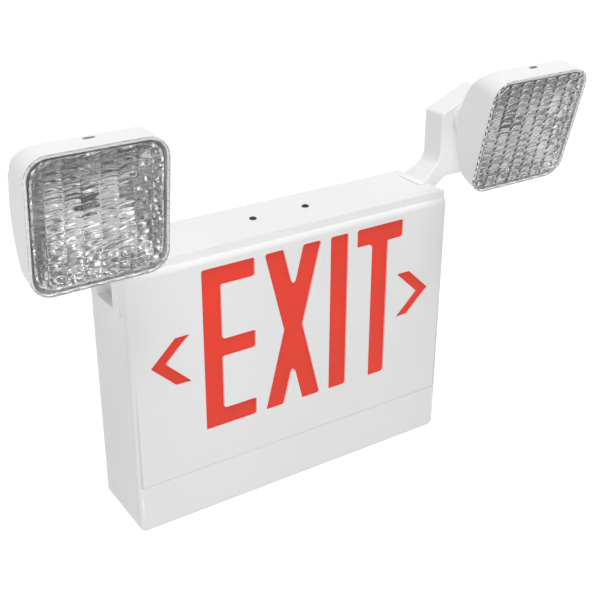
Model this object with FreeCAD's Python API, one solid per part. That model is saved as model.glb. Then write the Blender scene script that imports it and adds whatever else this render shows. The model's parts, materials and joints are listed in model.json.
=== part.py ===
import FreeCAD, Part
import math
import os
from FreeCAD import Placement, Rotation, Vector

# Wall-mounted emergency exit light with two adjustable lamp heads.
# Millimetres. +X to the reader's right, -Y out of the wall, +Z up.
# The origin is the centre of the wall screws, on the back face.

# ---- housing ----
HOUSING_W = 328.0
HOUSING_H = 252.5
MOUNT_H = 126.0            # the wall screws' centre above the housing's foot
FRAME_D = 65.7             # frame alone, without the face plate
PLATE_PROUD = 5.3          # the face plate stands out of the frame by this
PLATE_DROP = 7.3           # and stops this far below the frame's top
WALL = 2.5
DRAFT = 1.0                # each side of the frame narrows by this towards the wall
TOP_CORNER_R = 2.0
FOOT_CORNER_R = 7.0
LEDGE_W = 3.0              # inner step that the back plate rests on
HEADER_H = 10.5            # front flange over the face plate's top edge

# ---- face plate and diffuser ----
SKIN_T = 2.0
SKIRT_T = 2.2
SIDE_EDGE_R = 4.4
LIP_T = 1.6
LIP_D = 7.5
FIT = 0.3
SEAM_H = 46.5              # groove across the plate, above the housing's foot
SEAM_W = 1.0
DIFFUSER_T = 2.0
DIFFUSER_SIDE = 8.0        # from the housing's side to the diffuser
DIFFUSER_LOW = 66.0        # its lower edge above the housing's foot
DIFFUSER_CORNER_R = 3.0
STAKE_R = 1.6
STAKE_H = 3.2
STAKE_INSET = 5.0          # stakes inside the diffuser's edge

# ---- corner pockets and arms ----
POCKET_W = 12.0            # into the housing from its side
POCKET_Y = (-44.3, -12.0)
POCKET_DEPTH = 43.3        # below the housing's top
GRIP_Y = (-62.5, -56.0)    # shallow grip beside the face plate
GRIP_T = 0.9
ARM_T = 24.0
ARM_WALL = 2.6
ARM_REST = 0.25            # air between the foot and its pocket
ARM_SIDE_GAP = 0.5         # foot inside the housing's side
FOOT_DEPTH = 22.0          # of the arm's foot into its pocket
FOOT_R = 2.0
ARM_LOW_X = 20.0           # underside runs level from this far out of the side
ARM_LOW_Z = 3.0            # and this high above the housing's top
ARM_LEAN_Z = 20.0          # top of the leaning neck above the housing's top
ARM_LEAN_R = 14.0
ARM_BLOCK_X = 27.0         # upright block's inner side from the hub's axis
ARM_REACH = 27.0           # outer side from the hub's axis
ARM_REACH_R = 8.0
ARM_TOP = 17.2             # sloping upper edge above the hub's axis
ARM_SLOPE = 23.0           # degrees
ARM_HOLLOW_Z = 6.0         # lowest point of the hollow above the housing's top
FLARE_RISE = 11.0          # of the blend from the deep foot to the thin arm
ARM_EDGE = 0.8
ARM_SCREW_R = 1.7
ARM_SCREW_BITE = 8.0

# ---- swivel, tilt hinge and heads ----
HUB_SIDE = 38.4            # swivel axis out of the housing's side
HUB_RISE = 58.5            # and above its top
SPIGOT_R = 8.0
SPIGOT_TAIL = 6.0
RUN = 0.08                 # radial running clearance
FLANGE_R = 14.5
FLANGE_T = 4.0
FLANGE_GAP = 0.2
NUT_R = 12.0
NUT_T = 4.0
HINGE_OUT = 34.5           # tilt axis in front of the arm
TONGUE_R = 8.0
TONGUE_T = 10.0
STEM_R = 11.5
STEM_TIP_R = 9.0
STEM_CLEAR = 1.5           # stem's tip from the tongue's round end
WIRE_R = 3.5               # bore for the lamp's leads
EAR_T = 4.0
EAR_GAP = 0.3
PIN_R = 2.5
PIN_HEAD_R = 4.2
PIN_HEAD_T = 2.0
TILT_RIGHT = 13.5          # each head looks down by this at rest
TILT_LEFT = 6.5
HINGE_BACK = 46.0          # hinge behind the head's front plane
HINGE_DOWN = 19.0          # and below its centre
HEAD_W = 107.0
HEAD_R = 17.0
HEAD_WALL = 2.0
HEAD_TOP_D = 19.5          # flat top, front to back
HEAD_DOME_D = 39.0         # deepest point of the domed back
HEAD_DOME_H = 7.0          # its height above the centre
HEAD_FOOT_D = 3.0
HEAD_DRAFT = 3.2           # each side leans in by this from the front to the dome's depth
DOME_EDGE_R = 1.5
LENS_T = 2.0
LENS_EDGE = 0.6
LENS_TAB_L = 18.0          # four tabs behind the lens centre it in the casing
LENS_TAB_D = 5.0
LENS_TAB_T = 1.4
LENS_FIT = 0.15
LATCH_D = 15.0
LATCH_W = 9.0
LATCH_SLOT = 3.4
REFLECTOR_T = 1.0
REFLECTOR_D = 25.0
REFLECTOR_START = 1.0      # its mouth behind the casing's front plane
REFLECTOR_RIM = 1.5        # flat border round the bowl
REFLECTOR_NECK_R = 15.0
REFLECTOR_STEPS = (0.0, 0.35, 0.7, 1.0)
LAMP_R = 5.2
LAMP_L = 16.0
LAMP_SEAT = 2.0            # of the lamp into its socket
SOCKET_R = 8.0
SOCKET_T = 4.0             # behind the reflector's neck
SOCKET_RIM = 3.0

# ---- wall interface and top holes ----
WALL_SCREW_PITCH = 83.3
WALL_SCREW_R = 2.4
WIRE_ENTRY_R = 11.1
BOX_SLOT_PITCH = 88.9      # level slots for a round outlet box
BOX_SLOT_L = 11.0
CANOPY_PITCH = 54.4
CANOPY_OFFSET = 5.0
CANOPY_Y = -31.0
CANOPY_R = 2.9

# ---- inner parts ----
CELL_R = 11.3
CELL_L = 43.0
CELL_COUNT = 3
CELL_TIP_R = 3.5
CELL_TIP_L = 1.2
BATTERY_SIDE = 78.0        # middle of the pack from the housing's left side
BATTERY_FOOT = 20.0        # and above its foot
CRADLE_T = 2.0
CRADLE_HOLD = 4.0          # snap arms past the cells' middle
CRADLE_GAPS = (0.125, 0.625)
BOARD_SIDE = 14.0          # from the housing's right side to the board
BOARD_FOOT = 8.0           # its lower edge above the housing's foot
BOARD_W = 128.0
BOARD_H = 60.0
BOARD_T = 1.6
BOARD_STANDOFF = 8.0
BOARD_SCREW_INSET = 6.0
BOARD_SCREW_BITE = 5.0
BOSS_R = 3.6
SCREW_R = 1.4
SCREW_HEAD_R = 2.8
SCREW_HEAD_T = 1.8
CORE_SIZE = (42.0, 16.0, 35.0)
COIL_SIZE = (28.0, 30.0, 21.0)
COIL_R = 3.0
TRANSFORMER_SIDE = 36.0    # its middle from the board's right edge
CAPACITOR_R = 6.3
CAPACITOR_L = 20.0
CAPACITOR_PITCH = 14.0
CAPACITOR_EDGE = 0.8
CAPACITOR_SIDE = 46.0      # the first one's middle from the board's left edge
CAPACITOR_DROP = 14.0      # and below its upper edge
RELAY_SIZE = (20.0, 15.0, 16.0)
RELAY_SIDE = 30.0
TERMINAL_SIZE = (24.0, 10.0, 11.0)
TERMINAL_SIDE = 24.0
TERMINAL_DROP = 8.0
PORT_R = 1.8
PORT_D = 8.0
PORT_PITCH = 8.0
LED_BAR_SIDE = 39.0        # from the housing's side to the bar's end
LED_BAR_W = 12.0
LED_BAR_RIB = 3.0
RIB_T = 3.0
LED_COUNT = 9
LED_MARGIN = 13.0          # last chip inside the bar's end
LED_SIZE = (5.0, 3.6, 1.6)
LED_Y = -38.0
SHELF_FOOT = 78.0          # top of the cross shelf above the housing's foot
SHELF_T = 2.0
BUTTON_SIDE = 38.0         # from the board's left edge
BUTTON_Y = -31.0
BUTTON_R = 4.0
BUTTON_OUT = 2.6
BUTTON_TRAVEL = 1.5
BUTTON_FLANGE_R = 6.0
BUTTON_FLANGE_T = 1.5
BUTTON_EDGE = 0.8
SWITCH_SIZE = (10.0, 12.0, 8.0)
PILOT_SIDE = 60.0          # from the board's left edge
PILOT_R = 3.0
PILOT_OUT = 1.4
PILOT_RIM = 1.0

# ---- places worked out from the sizes above ----
FOOT_Z = -MOUNT_H
TOP_Z = HOUSING_H - MOUNT_H
HALF_W = HOUSING_W / 2
PLATE_TOP_Z = TOP_Z - PLATE_DROP
PLATE_Y = -FRAME_D - PLATE_PROUD
SKIN_BACK_Y = PLATE_Y + SKIN_T
DIFFUSER_BACK_Y = SKIN_BACK_Y + DIFFUSER_T
POCKET_X = HALF_W - POCKET_W
POCKET_FLOOR_Z = TOP_Z - POCKET_DEPTH
ARM_FRONT = POCKET_Y[0] + FIT
ARM_BACK = ARM_FRONT + ARM_T
FOOT_X = (POCKET_X + ARM_REST, HALF_W - ARM_SIDE_GAP)
HUB_X = HALF_W + HUB_SIDE
HUB_Z = TOP_Z + HUB_RISE
HINGE_Y = ARM_FRONT - HINGE_OUT
BACK_PLATE_Y = -WALL
DIFFUSER_HALF = HALF_W - DIFFUSER_SIDE
DIFFUSER_LOW_Z = FOOT_Z + DIFFUSER_LOW
DIFFUSER_TOP_Z = TOP_Z - HEADER_H - LIP_T - 2 * FIT
BATTERY_X = -HALF_W + BATTERY_SIDE
BATTERY_Z = FOOT_Z + BATTERY_FOOT
BOARD_X = (HALF_W - BOARD_SIDE - BOARD_W, HALF_W - BOARD_SIDE)
BOARD_Z = (FOOT_Z + BOARD_FOOT, FOOT_Z + BOARD_FOOT + BOARD_H)
LED_BAR_HALF = HALF_W - LED_BAR_SIDE
SHELF_Z = FOOT_Z + SHELF_FOOT
BUTTON_X = BOARD_X[0] + BUTTON_SIDE
PILOT_X = BOARD_X[0] + PILOT_SIDE
BOARD_BACK_Y = BACK_PLATE_Y - BOARD_STANDOFF
BOARD_FRONT_Y = BOARD_BACK_Y - BOARD_T
CELL_Y = BACK_PLATE_Y - CRADLE_T - CELL_R - FIT
FLOOR_Z = FOOT_Z + WALL + DRAFT / 2   # highest point of the drafted bottom wall


def box(x, y, z):
    """Box between three pairs of limits."""
    size = [high - low for low, high in (x, y, z)]
    return Part.makeBox(size[0], size[1], size[2], Vector(x[0], y[0], z[0]))


def rod(r, length, start, direction):
    return Part.makeCylinder(r, length, Vector(*start), Vector(*direction))


def fuse(*shapes):
    return shapes[0].multiFuse(list(shapes[1:])).removeSplitter()


def rounded_wire(corners, place):
    """Closed wire through (u, v, radius) corners; place(u, v) gives the 3-D point."""
    edges = []
    ends = []
    count = len(corners)
    for i in range(count):
        u, v, r = corners[i]
        here = Vector(u, v, 0)
        back = Vector(corners[i - 1][0], corners[i - 1][1], 0) - here
        ahead = Vector(corners[(i + 1) % count][0], corners[(i + 1) % count][1], 0) - here
        back.normalize()
        ahead.normalize()
        if r <= 0:
            ends.append((here, None, here))
            continue
        half = back.getAngle(ahead) / 2
        reach = r / math.tan(half)
        inward = (back + ahead).normalize()
        middle = here + inward * (r / math.sin(half) - r)
        ends.append((here + back * reach, middle, here + ahead * reach))
    for i in range(count):
        start, middle, stop = ends[i]
        if middle is not None:
            points = [place(p.x, p.y) for p in (start, middle, stop)]
            edges.append(Part.Arc(*points).toShape())
        following = ends[(i + 1) % count][0]
        if stop.distanceToPoint(following) > 1e-6:
            edges.append(Part.makeLine(place(stop.x, stop.y), place(following.x, following.y)))
    return Part.Wire(edges)


def xz(y):
    return lambda u, v: Vector(u, y, v)


def yz(x):
    return lambda u, v: Vector(x, u, v)


def front_outline(half, low, high, low_r, high_r):
    return [(-half, low, low_r), (half, low, low_r), (half, high, high_r), (-half, high, high_r)]


def prism(corners, y0, y1):
    """Outline in X and Z, between two Y planes."""
    return Part.Face(rounded_wire(corners, xz(y0))).extrude(Vector(0, y1 - y0, 0))


def mirrored(shape):
    return shape.mirror(Vector(0, 0, 0), Vector(1, 0, 0))


# ---------------------------------------------------------------- housing

def frame_block(inset):
    """The drafted outer form of the frame, moved inwards by inset."""
    wires = []
    for y, draft in ((-FRAME_D, 0.0), (0.0, DRAFT)):
        half = HALF_W - draft - inset
        low = FOOT_Z + draft / 2 + inset
        low_r = max(FOOT_CORNER_R - inset, 0.5)
        high_r = max(TOP_CORNER_R - inset, 0.5)
        wires.append(rounded_wire(front_outline(half, low, TOP_Z - inset, low_r, high_r), xz(y)))
    return Part.makeLoft(wires, True, True)


def pocket(grow):
    """Space for one arm's foot, open at the side and at the top."""
    return box((POCKET_X - grow, HALF_W + 1.0), (POCKET_Y[0] - grow, POCKET_Y[1] + grow),
               (POCKET_FLOOR_Z - grow, TOP_Z + 1.0))


def grip():
    return box((HALF_W - GRIP_T, HALF_W + 1.0), GRIP_Y, (POCKET_FLOOR_Z, TOP_Z + 1.0))


def housing_frame():
    outer = frame_block(0.0)
    bore = frame_block(WALL)
    ring = outer.cut(bore)
    ledge = bore.common(box((-HALF_W, HALF_W), (BACK_PLATE_Y - WALL, BACK_PLATE_Y), (FOOT_Z, TOP_Z)))
    ledge = ledge.cut(frame_block(WALL + LEDGE_W))
    header = box((-HALF_W + WALL, HALF_W - WALL), (-FRAME_D, -FRAME_D + WALL),
                 (TOP_Z - HEADER_H, TOP_Z - WALL / 2))
    liners = [outer.common(pocket(WALL)), outer.common(mirrored(pocket(WALL)))]
    shape = fuse(ring, ledge, header, *liners, *led_ribs(), cross_shelf())
    cuts = [pocket(0.0), mirrored(pocket(0.0)), grip(), mirrored(grip())]
    for x in (CANOPY_OFFSET - CANOPY_PITCH / 2, CANOPY_OFFSET + CANOPY_PITCH / 2):
        cuts.append(rod(CANOPY_R, WALL + 2, (x, CANOPY_Y, TOP_Z - WALL - 1), (0, 0, 1)))
    cuts.append(rod(BUTTON_R + FIT, WALL + 2, (BUTTON_X, BUTTON_Y, FOOT_Z - 1), (0, 0, 1)))
    cuts.append(rod(PILOT_R, WALL + 2, (PILOT_X, BUTTON_Y, FOOT_Z - 1), (0, 0, 1)))
    for screw in arm_screw_axes():
        cuts.append(rod(ARM_SCREW_R + 0.1, WALL + 2, screw, (math.copysign(1, screw[0]), 0, 0)))
    return shape.cut(Part.makeCompound(cuts))


def led_ribs():
    """Short ribs that hold the upper light bar under the top wall."""
    ribs = []
    for x in (-LED_BAR_HALF * 2 / 3, 0.0, LED_BAR_HALF * 2 / 3):
        ribs.append(box((x - RIB_T / 2, x + RIB_T / 2), (LED_Y - LED_BAR_W / 2, LED_Y + LED_BAR_W / 2),
                        (TOP_Z - WALL - LED_BAR_RIB, TOP_Z - WALL + 0.5)))
    return ribs


def cross_shelf():
    """Cross shelf between the sign and the lower room, under the lower light bar."""
    return box((-HALF_W + WALL / 2, HALF_W - WALL / 2), (LED_Y - LED_BAR_W, LED_Y + LED_BAR_W),
               (SHELF_Z - SHELF_T, SHELF_Z))


def back_plate():
    half = HALF_W - DRAFT - WALL - FIT
    outline = front_outline(half, FOOT_Z + WALL + DRAFT / 2 + FIT, TOP_Z - WALL - FIT,
                            FOOT_CORNER_R - WALL, 1.0)
    plate = prism(outline, BACK_PLATE_Y, 0.0)
    bosses = []
    for x, z in board_screw_places():
        bosses.append(rod(BOSS_R, BOARD_STANDOFF, (x, BACK_PLATE_Y, z), (0, -1, 0)))
    collar = rod(WIRE_ENTRY_R + WALL, WALL, (0, BACK_PLATE_Y, 0), (0, -1, 0))
    ribs = [box((-half + LEDGE_W + 1, half - LEDGE_W - 1), (BACK_PLATE_Y - 2.0, BACK_PLATE_Y), (z - 1, z + 1))
            for z in (-MOUNT_H / 4, MOUNT_H / 4)]
    shape = fuse(plate, collar, *ribs, *bosses)
    cuts = [rod(WIRE_ENTRY_R, 2 * WALL + 2, (0, 1, 0), (0, -1, 0))]
    for z in (-WALL_SCREW_PITCH / 2, WALL_SCREW_PITCH / 2):
        cuts.append(rod(WALL_SCREW_R, WALL + 4, (0, 1, z), (0, -1, 0)))
    for x in (-BOX_SLOT_PITCH / 2, BOX_SLOT_PITCH / 2):
        r = WALL_SCREW_R - 0.05
        slot = [(x - BOX_SLOT_L / 2, -WALL_SCREW_R, r), (x + BOX_SLOT_L / 2, -WALL_SCREW_R, r),
                (x + BOX_SLOT_L / 2, WALL_SCREW_R, r), (x - BOX_SLOT_L / 2, WALL_SCREW_R, r)]
        cuts.append(prism(slot, -WALL - 1, 1))
    for x, z in board_screw_places():
        cuts.append(rod(SCREW_R, BOARD_STANDOFF, (x, BACK_PLATE_Y - 0.5, z), (0, -1, 0)))
    return shape.cut(Part.makeCompound(cuts))


# ---------------------------------------------------------------- face plate

def face_plate():
    outline = front_outline(HALF_W, FOOT_Z, PLATE_TOP_Z, FOOT_CORNER_R, TOP_CORNER_R)
    block = prism(outline, PLATE_Y, -FRAME_D)
    sides = [e for e in block.Edges if side_front_edge(e)]
    block = block.makeFillet(SIDE_EDGE_R, sides)
    hollow = prism(front_outline(HALF_W - SKIRT_T, FOOT_Z + SKIRT_T, PLATE_TOP_Z - SKIRT_T,
                                 FOOT_CORNER_R - SKIRT_T, 0.5), SKIN_BACK_Y, -FRAME_D)
    inner = HALF_W - WALL - FIT
    lip_top = TOP_Z - HEADER_H - FIT
    lip_low = FOOT_Z + WALL + FIT
    lip_outer = prism(front_outline(inner, lip_low, lip_top, FOOT_CORNER_R - WALL, 1.0),
                      SKIN_BACK_Y, -FRAME_D + LIP_D)
    lip_inner = prism(front_outline(inner - LIP_T, lip_low + LIP_T, lip_top - LIP_T,
                                    FOOT_CORNER_R - WALL - LIP_T, 0.5), SKIN_BACK_Y, -FRAME_D + LIP_D)
    groove_z = FOOT_Z + SEAM_H
    groove = box((-HALF_W, HALF_W), (PLATE_Y - 1, PLATE_Y + SEAM_W / 2),
                 (groove_z - SEAM_W / 2, groove_z + SEAM_W / 2))
    stakes = [rod(STAKE_R, STAKE_H, (x, SKIN_BACK_Y, z), (0, 1, 0)) for x, z in stake_places()]
    return fuse(block.cut(hollow), lip_outer.cut(lip_inner), *stakes).cut(groove)


def side_front_edge(edge):
    """True for the long upright edges at the block's front."""
    box_ = edge.BoundBox
    return box_.YLength < 1e-6 and box_.XLength < 1e-6 and abs(box_.YMin - PLATE_Y) < 1e-6


def stake_places():
    """Heat stakes that hold the diffuser, in its corners and middle."""
    x = DIFFUSER_HALF - STAKE_INSET
    low = DIFFUSER_LOW_Z + STAKE_INSET
    high = DIFFUSER_TOP_Z - STAKE_INSET
    return [(-x, low), (x, low), (-x, high), (x, high), (0.0, low)]


def diffuser_panel():
    sheet = prism(front_outline(DIFFUSER_HALF, DIFFUSER_LOW_Z, DIFFUSER_TOP_Z,
                                DIFFUSER_CORNER_R, DIFFUSER_CORNER_R), SKIN_BACK_Y, DIFFUSER_BACK_Y)
    holes = [rod(STAKE_R, DIFFUSER_T, (x, SKIN_BACK_Y, z), (0, 1, 0)) for x, z in stake_places()]
    return sheet.cut(Part.makeCompound(holes))


# ---------------------------------------------------------------- arms

def arm_top_z(x):
    """Height of the sloping upper edge."""
    return HUB_Z + ARM_TOP + (x - HUB_X) * math.tan(math.radians(ARM_SLOPE))


def arm_outline():
    """The arm seen from the front: foot, inward-leaning neck and block with a sloping top."""
    foot_x, out_x = FOOT_X
    block_x = HUB_X - ARM_BLOCK_X
    reach_x = HUB_X + ARM_REACH
    low_z = TOP_Z + ARM_LOW_Z
    return [
        (foot_x, TOP_Z - FOOT_DEPTH, FOOT_R), (out_x, TOP_Z - FOOT_DEPTH, FOOT_R),
        (out_x, TOP_Z - FOOT_DEPTH / 2, 2 * FOOT_R),
        (out_x + ARM_LOW_X, low_z, 3 * FOOT_R), (reach_x, low_z, 2 * ARM_REACH_R),
        (reach_x, arm_top_z(reach_x), ARM_REACH_R), (block_x, arm_top_z(block_x), 1.5 * FOOT_R),
        (block_x, TOP_Z + ARM_LEAN_Z, ARM_LEAN_R),
        (foot_x + 2.5 * FOOT_R, TOP_Z + ARM_LOW_Z / 2, 1.5 * FOOT_R),
        (foot_x, TOP_Z + ARM_SIDE_GAP, FOOT_R / 2),
    ]


def arm():
    plate = prism(arm_outline(), ARM_FRONT, ARM_BACK)
    plate = plate.makeChamfer(ARM_EDGE, [e for e in plate.Edges if e.BoundBox.YMax < ARM_FRONT + 1e-6])
    face = Part.Face(rounded_wire(arm_outline(), xz(ARM_FRONT + ARM_WALL)))
    inner = face.makeOffset2D(-ARM_WALL).extrude(Vector(0, ARM_T, 0))
    top_z = TOP_Z + ARM_SIDE_GAP
    room = box((POCKET_X, HUB_X + 2 * ARM_REACH), (ARM_FRONT, 0), (TOP_Z + ARM_HOLLOW_Z, HUB_Z + 2 * ARM_REACH))
    foot = box(FOOT_X, (POCKET_Y[0] + ARM_REST, POCKET_Y[1] - ARM_REST), (TOP_Z - FOOT_DEPTH, top_z))
    boss = rod(SPIGOT_R + RUN + ARM_WALL, ARM_T / 2, (HUB_X, ARM_FRONT, HUB_Z), (0, 1, 0))
    shape = fuse(plate.cut(inner.common(room)), foot, foot_flare(), boss)
    bore = rod(SPIGOT_R + RUN, ARM_T, (HUB_X, ARM_FRONT - 1, HUB_Z), (0, 1, 0))
    screw = rod(ARM_SCREW_R, ARM_SCREW_BITE + 1.0, (POCKET_X - 0.5, sum(POCKET_Y) / 2, TOP_Z - FOOT_DEPTH / 2),
                (1, 0, 0))
    return shape.cut(bore).cut(screw)


def foot_flare():
    """Blend from the deep foot to the thinner arm, on the wall side."""
    low_z = TOP_Z + ARM_SIDE_GAP
    corners = [(ARM_BACK - 1.0, low_z, 0), (POCKET_Y[1] - ARM_REST, low_z, 0),
               (ARM_BACK + 1.0, TOP_Z + FLARE_RISE, FLARE_RISE / 2),
               (ARM_BACK - 1.0, TOP_Z + FLARE_RISE + ARM_LOW_Z, 0)]
    wedge = Part.Face(rounded_wire(corners, yz(FOOT_X[0]))).extrude(Vector(2 * ARM_LOW_X, 0, 0))
    return wedge.common(prism(arm_outline(), ARM_FRONT, 0.0))


def arm_screw_axes():
    """Start points of the two screws, inside the housing."""
    x = POCKET_X - WALL - 1.0
    z = TOP_Z - FOOT_DEPTH / 2
    y = sum(POCKET_Y) / 2
    return [(x, y, z), (-x, y, z)]


def arm_screws():
    screws = []
    for x, y, z in arm_screw_axes():
        way = math.copysign(1, x)
        seat = way * (POCKET_X - WALL)
        shank = rod(ARM_SCREW_R, WALL + ARM_SCREW_BITE, (seat, y, z), (way, 0, 0))
        head = rod(2 * ARM_SCREW_R, SCREW_HEAD_T, (seat, y, z), (-way, 0, 0))
        screws.append(fuse(shank, head))
    return Part.makeCompound(screws)


# ---------------------------------------------------------------- swivel neck

def neck():
    """Turns in the arm's hub and carries the tilt hinge."""
    face_y = ARM_FRONT - FLANGE_GAP
    flange = rod(FLANGE_R, FLANGE_T, (HUB_X, face_y, HUB_Z), (0, -1, 0))
    stem_y = face_y - FLANGE_T
    reach = stem_y - (HINGE_Y + TONGUE_R + STEM_CLEAR)
    stem = Part.makeCone(STEM_R, STEM_TIP_R, reach, Vector(HUB_X, stem_y, HUB_Z), Vector(0, -1, 0))
    half = TONGUE_T / 2
    tongue_x = (HUB_X - half, HUB_X + half)
    tongue = fuse(box(tongue_x, (HINGE_Y, stem_y - STEM_CLEAR), (HUB_Z - TONGUE_R, HUB_Z + TONGUE_R)),
                  rod(TONGUE_R, TONGUE_T, (HUB_X - half, HINGE_Y, HUB_Z), (1, 0, 0)))
    spigot = rod(SPIGOT_R, ARM_T / 2 + SPIGOT_TAIL, (HUB_X, face_y, HUB_Z), (0, 1, 0))
    pin_bore = rod(PIN_R + RUN, TONGUE_T + 2, (HUB_X - half - 1, HINGE_Y, HUB_Z), (1, 0, 0))
    wire_bore = rod(WIRE_R, ARM_T, (HUB_X, stem_y - STEM_CLEAR, HUB_Z), (0, 1, 0))
    return fuse(flange, stem, tongue, spigot).cut(pin_bore).cut(wire_bore)


def swivel_nut():
    """Ring on the spigot, behind the arm's hub boss."""
    y = ARM_FRONT + ARM_T / 2 + FLANGE_GAP
    ring = rod(NUT_R, NUT_T, (HUB_X, y, HUB_Z), (0, 1, 0))
    return ring.cut(rod(SPIGOT_R, NUT_T, (HUB_X, y, HUB_Z), (0, 1, 0)))


# ---------------------------------------------------------------- lamp heads
# Built about the middle of the front plane: X across, Y to the back, Z up.

def head_place(tilt):
    """Takes a head from its own axes to its place on the right-hand hinge."""
    turn = Rotation(Vector(1, 0, 0), tilt)
    offset = turn.multVec(Vector(0, HINGE_BACK, -HINGE_DOWN))
    return Placement(Vector(HUB_X, HINGE_Y, HUB_Z) - offset, turn)


def placed(shape, tilt):
    moved = shape.copy()
    moved.Placement = head_place(tilt).multiply(moved.Placement)
    return moved


def head_square(inset):
    half = HEAD_W / 2 - inset
    return front_outline(half, -half, half, HEAD_R - inset, HEAD_R - inset)


def side_profile(inset, front):
    """Flat top, domed back and short foot, seen from the side."""
    half = HEAD_W / 2 - inset
    top = Vector(0, HEAD_TOP_D - inset / 2, half)
    dome = Vector(0, HEAD_DOME_D - inset, HEAD_DOME_H)
    foot = Vector(0, HEAD_FOOT_D, -half)
    edges = [
        Part.makeLine(Vector(0, front, half), top),
        Part.Arc(top, dome, foot).toShape(),
        Part.makeLine(foot, Vector(0, front, -half)),
        Part.makeLine(Vector(0, front, -half), Vector(0, front, half)),
    ]
    return Part.Wire(edges)


def head_form(inset, front):
    """Domed side profile within the drafted square."""
    across = HEAD_W - 2 * inset
    side = Part.Face(side_profile(inset, front))
    side.translate(Vector(-across / 2, 0, 0))
    side = side.extrude(Vector(across, 0, 0))
    half = HEAD_W / 2 - inset
    corner = HEAD_R - inset
    wires = []
    for y in (front, HEAD_DOME_D + HEAD_DRAFT):
        lean = HEAD_DRAFT * y / HEAD_DOME_D
        wires.append(rounded_wire(front_outline(half - lean, -half, half, corner, corner), xz(y)))
    return side.common(Part.makeLoft(wires, True, True))


def casing():
    outer = head_form(0.0, 0.0)
    rim = [e for e in outer.Edges if dome_edge(e)]
    outer = outer.makeFillet(DOME_EDGE_R, rim)
    inner = head_form(HEAD_WALL, -1.0)
    shell = outer.cut(inner)
    ears = []
    inner_x = TONGUE_T / 2 + EAR_GAP
    for x in (-inner_x - EAR_T, inner_x):
        disc = rod(TONGUE_R, EAR_T, (x, HINGE_BACK, -HINGE_DOWN), (1, 0, 0))
        web = box((x, x + EAR_T), (HEAD_DOME_D - 1.5 * TONGUE_R, HINGE_BACK),
                  (-HINGE_DOWN - TONGUE_R, -HINGE_DOWN + TONGUE_R))
        ears.append(fuse(disc, web))
    shape = fuse(shell, *[ear.cut(inner) for ear in ears])
    bore = rod(PIN_R, TONGUE_T + 4 * EAR_T, (-TONGUE_T, HINGE_BACK, -HINGE_DOWN), (1, 0, 0))
    slot = prism_top_slot(LATCH_W, LATCH_SLOT)
    wire = rod(WIRE_R, HEAD_DOME_D, (0, HEAD_DOME_D / 2, -HINGE_DOWN + TONGUE_R / 4), (0, 1, 0))
    return shape.cut(bore).cut(slot).cut(wire)


def dome_edge(edge):
    """True for the edges round the domed back, away from the front plane."""
    b = edge.BoundBox
    behind = b.YMin > 0.5 and b.YMax > HEAD_FOOT_D - 0.1
    along_depth = b.YLength > 1.0 and b.XLength < 1e-6 and b.ZLength < 1e-6
    return behind and not along_depth


def prism_top_slot(width, depth):
    """Rounded slot through the top wall, for the lens latch."""
    r = depth / 2 - 0.05
    corners = [(-width / 2, LATCH_D - depth / 2, r), (width / 2, LATCH_D - depth / 2, r),
               (width / 2, LATCH_D + depth / 2, r), (-width / 2, LATCH_D + depth / 2, r)]
    low = HEAD_W / 2 - HEAD_WALL - 1.0
    wire = rounded_wire(corners, lambda u, v: Vector(u, v, low))
    return Part.Face(wire).extrude(Vector(0, 0, HEAD_WALL + 2.0))


def lens():
    """Flat-fronted plate over the whole head, with four tabs and a latch finger behind it."""
    plate = prism(head_square(0.0), -LENS_T, 0.0)
    front = [e for e in plate.Edges if e.BoundBox.YMax < -LENS_T + 1e-6]
    plate = plate.makeChamfer(LENS_EDGE, front)
    high = HEAD_W / 2 - HEAD_WALL - LENS_FIT
    low = high - LENS_TAB_T
    depth = (-LENS_T / 4, LENS_TAB_D)
    along = (-LENS_TAB_L / 2, LENS_TAB_L / 2)
    lean = HEAD_DRAFT * LENS_TAB_D / HEAD_DOME_D
    tabs = [box(along, depth, (low, high)), box(along, (depth[0], HEAD_FOOT_D), (-high, -low)),
            box((low - lean, high - lean), depth, along), box((-high + lean, lean - low), depth, along)]
    finger = box((-LATCH_W / 3, LATCH_W / 3), (depth[0], LATCH_D + LATCH_SLOT / 4), (low, high))
    nub = box((-LATCH_W / 4, LATCH_W / 4), (LATCH_D - LATCH_SLOT / 4, LATCH_D + LATCH_SLOT / 4),
              (low, high + HEAD_WALL / 2))
    return fuse(plate, *tabs, finger, nub)


def reflector():
    """Square-mouthed bowl of flat and conical facets that narrows to the lamp's neck."""
    inset = HEAD_WALL + LENS_FIT + LENS_TAB_T + FIT + HEAD_DRAFT * LENS_TAB_D / HEAD_DOME_D
    half = HEAD_W / 2 - inset
    corner_r = HEAD_R - inset

    def bowl(grow, deeper):
        mouth = half - REFLECTOR_RIM + grow
        neck = REFLECTOR_NECK_R + grow
        wires = []
        for share in REFLECTOR_STEPS:
            size = neck + (mouth - neck) * math.sqrt(1 - share ** 2)
            corner = min(size * 0.98, corner_r + share * HEAD_WALL)
            y = REFLECTOR_START + share * (REFLECTOR_D + deeper)
            wires.append(rounded_wire(front_outline(size, -size, size, corner, corner), xz(y)))
        return Part.makeLoft(wires, True, True)

    back = REFLECTOR_START + REFLECTOR_T
    flange = prism(front_outline(half, -half, half, corner_r, corner_r), REFLECTOR_START, back)
    room = head_form(HEAD_WALL + LENS_FIT, -1.0)
    hole = rod(SOCKET_R, HEAD_DOME_D, (0, REFLECTOR_D / 2, 0), (0, 1, 0))
    outer = bowl(REFLECTOR_T, REFLECTOR_T).common(room)
    return fuse(outer, flange.common(room)).cut(bowl(0.0, 0.0)).cut(hole)


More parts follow.
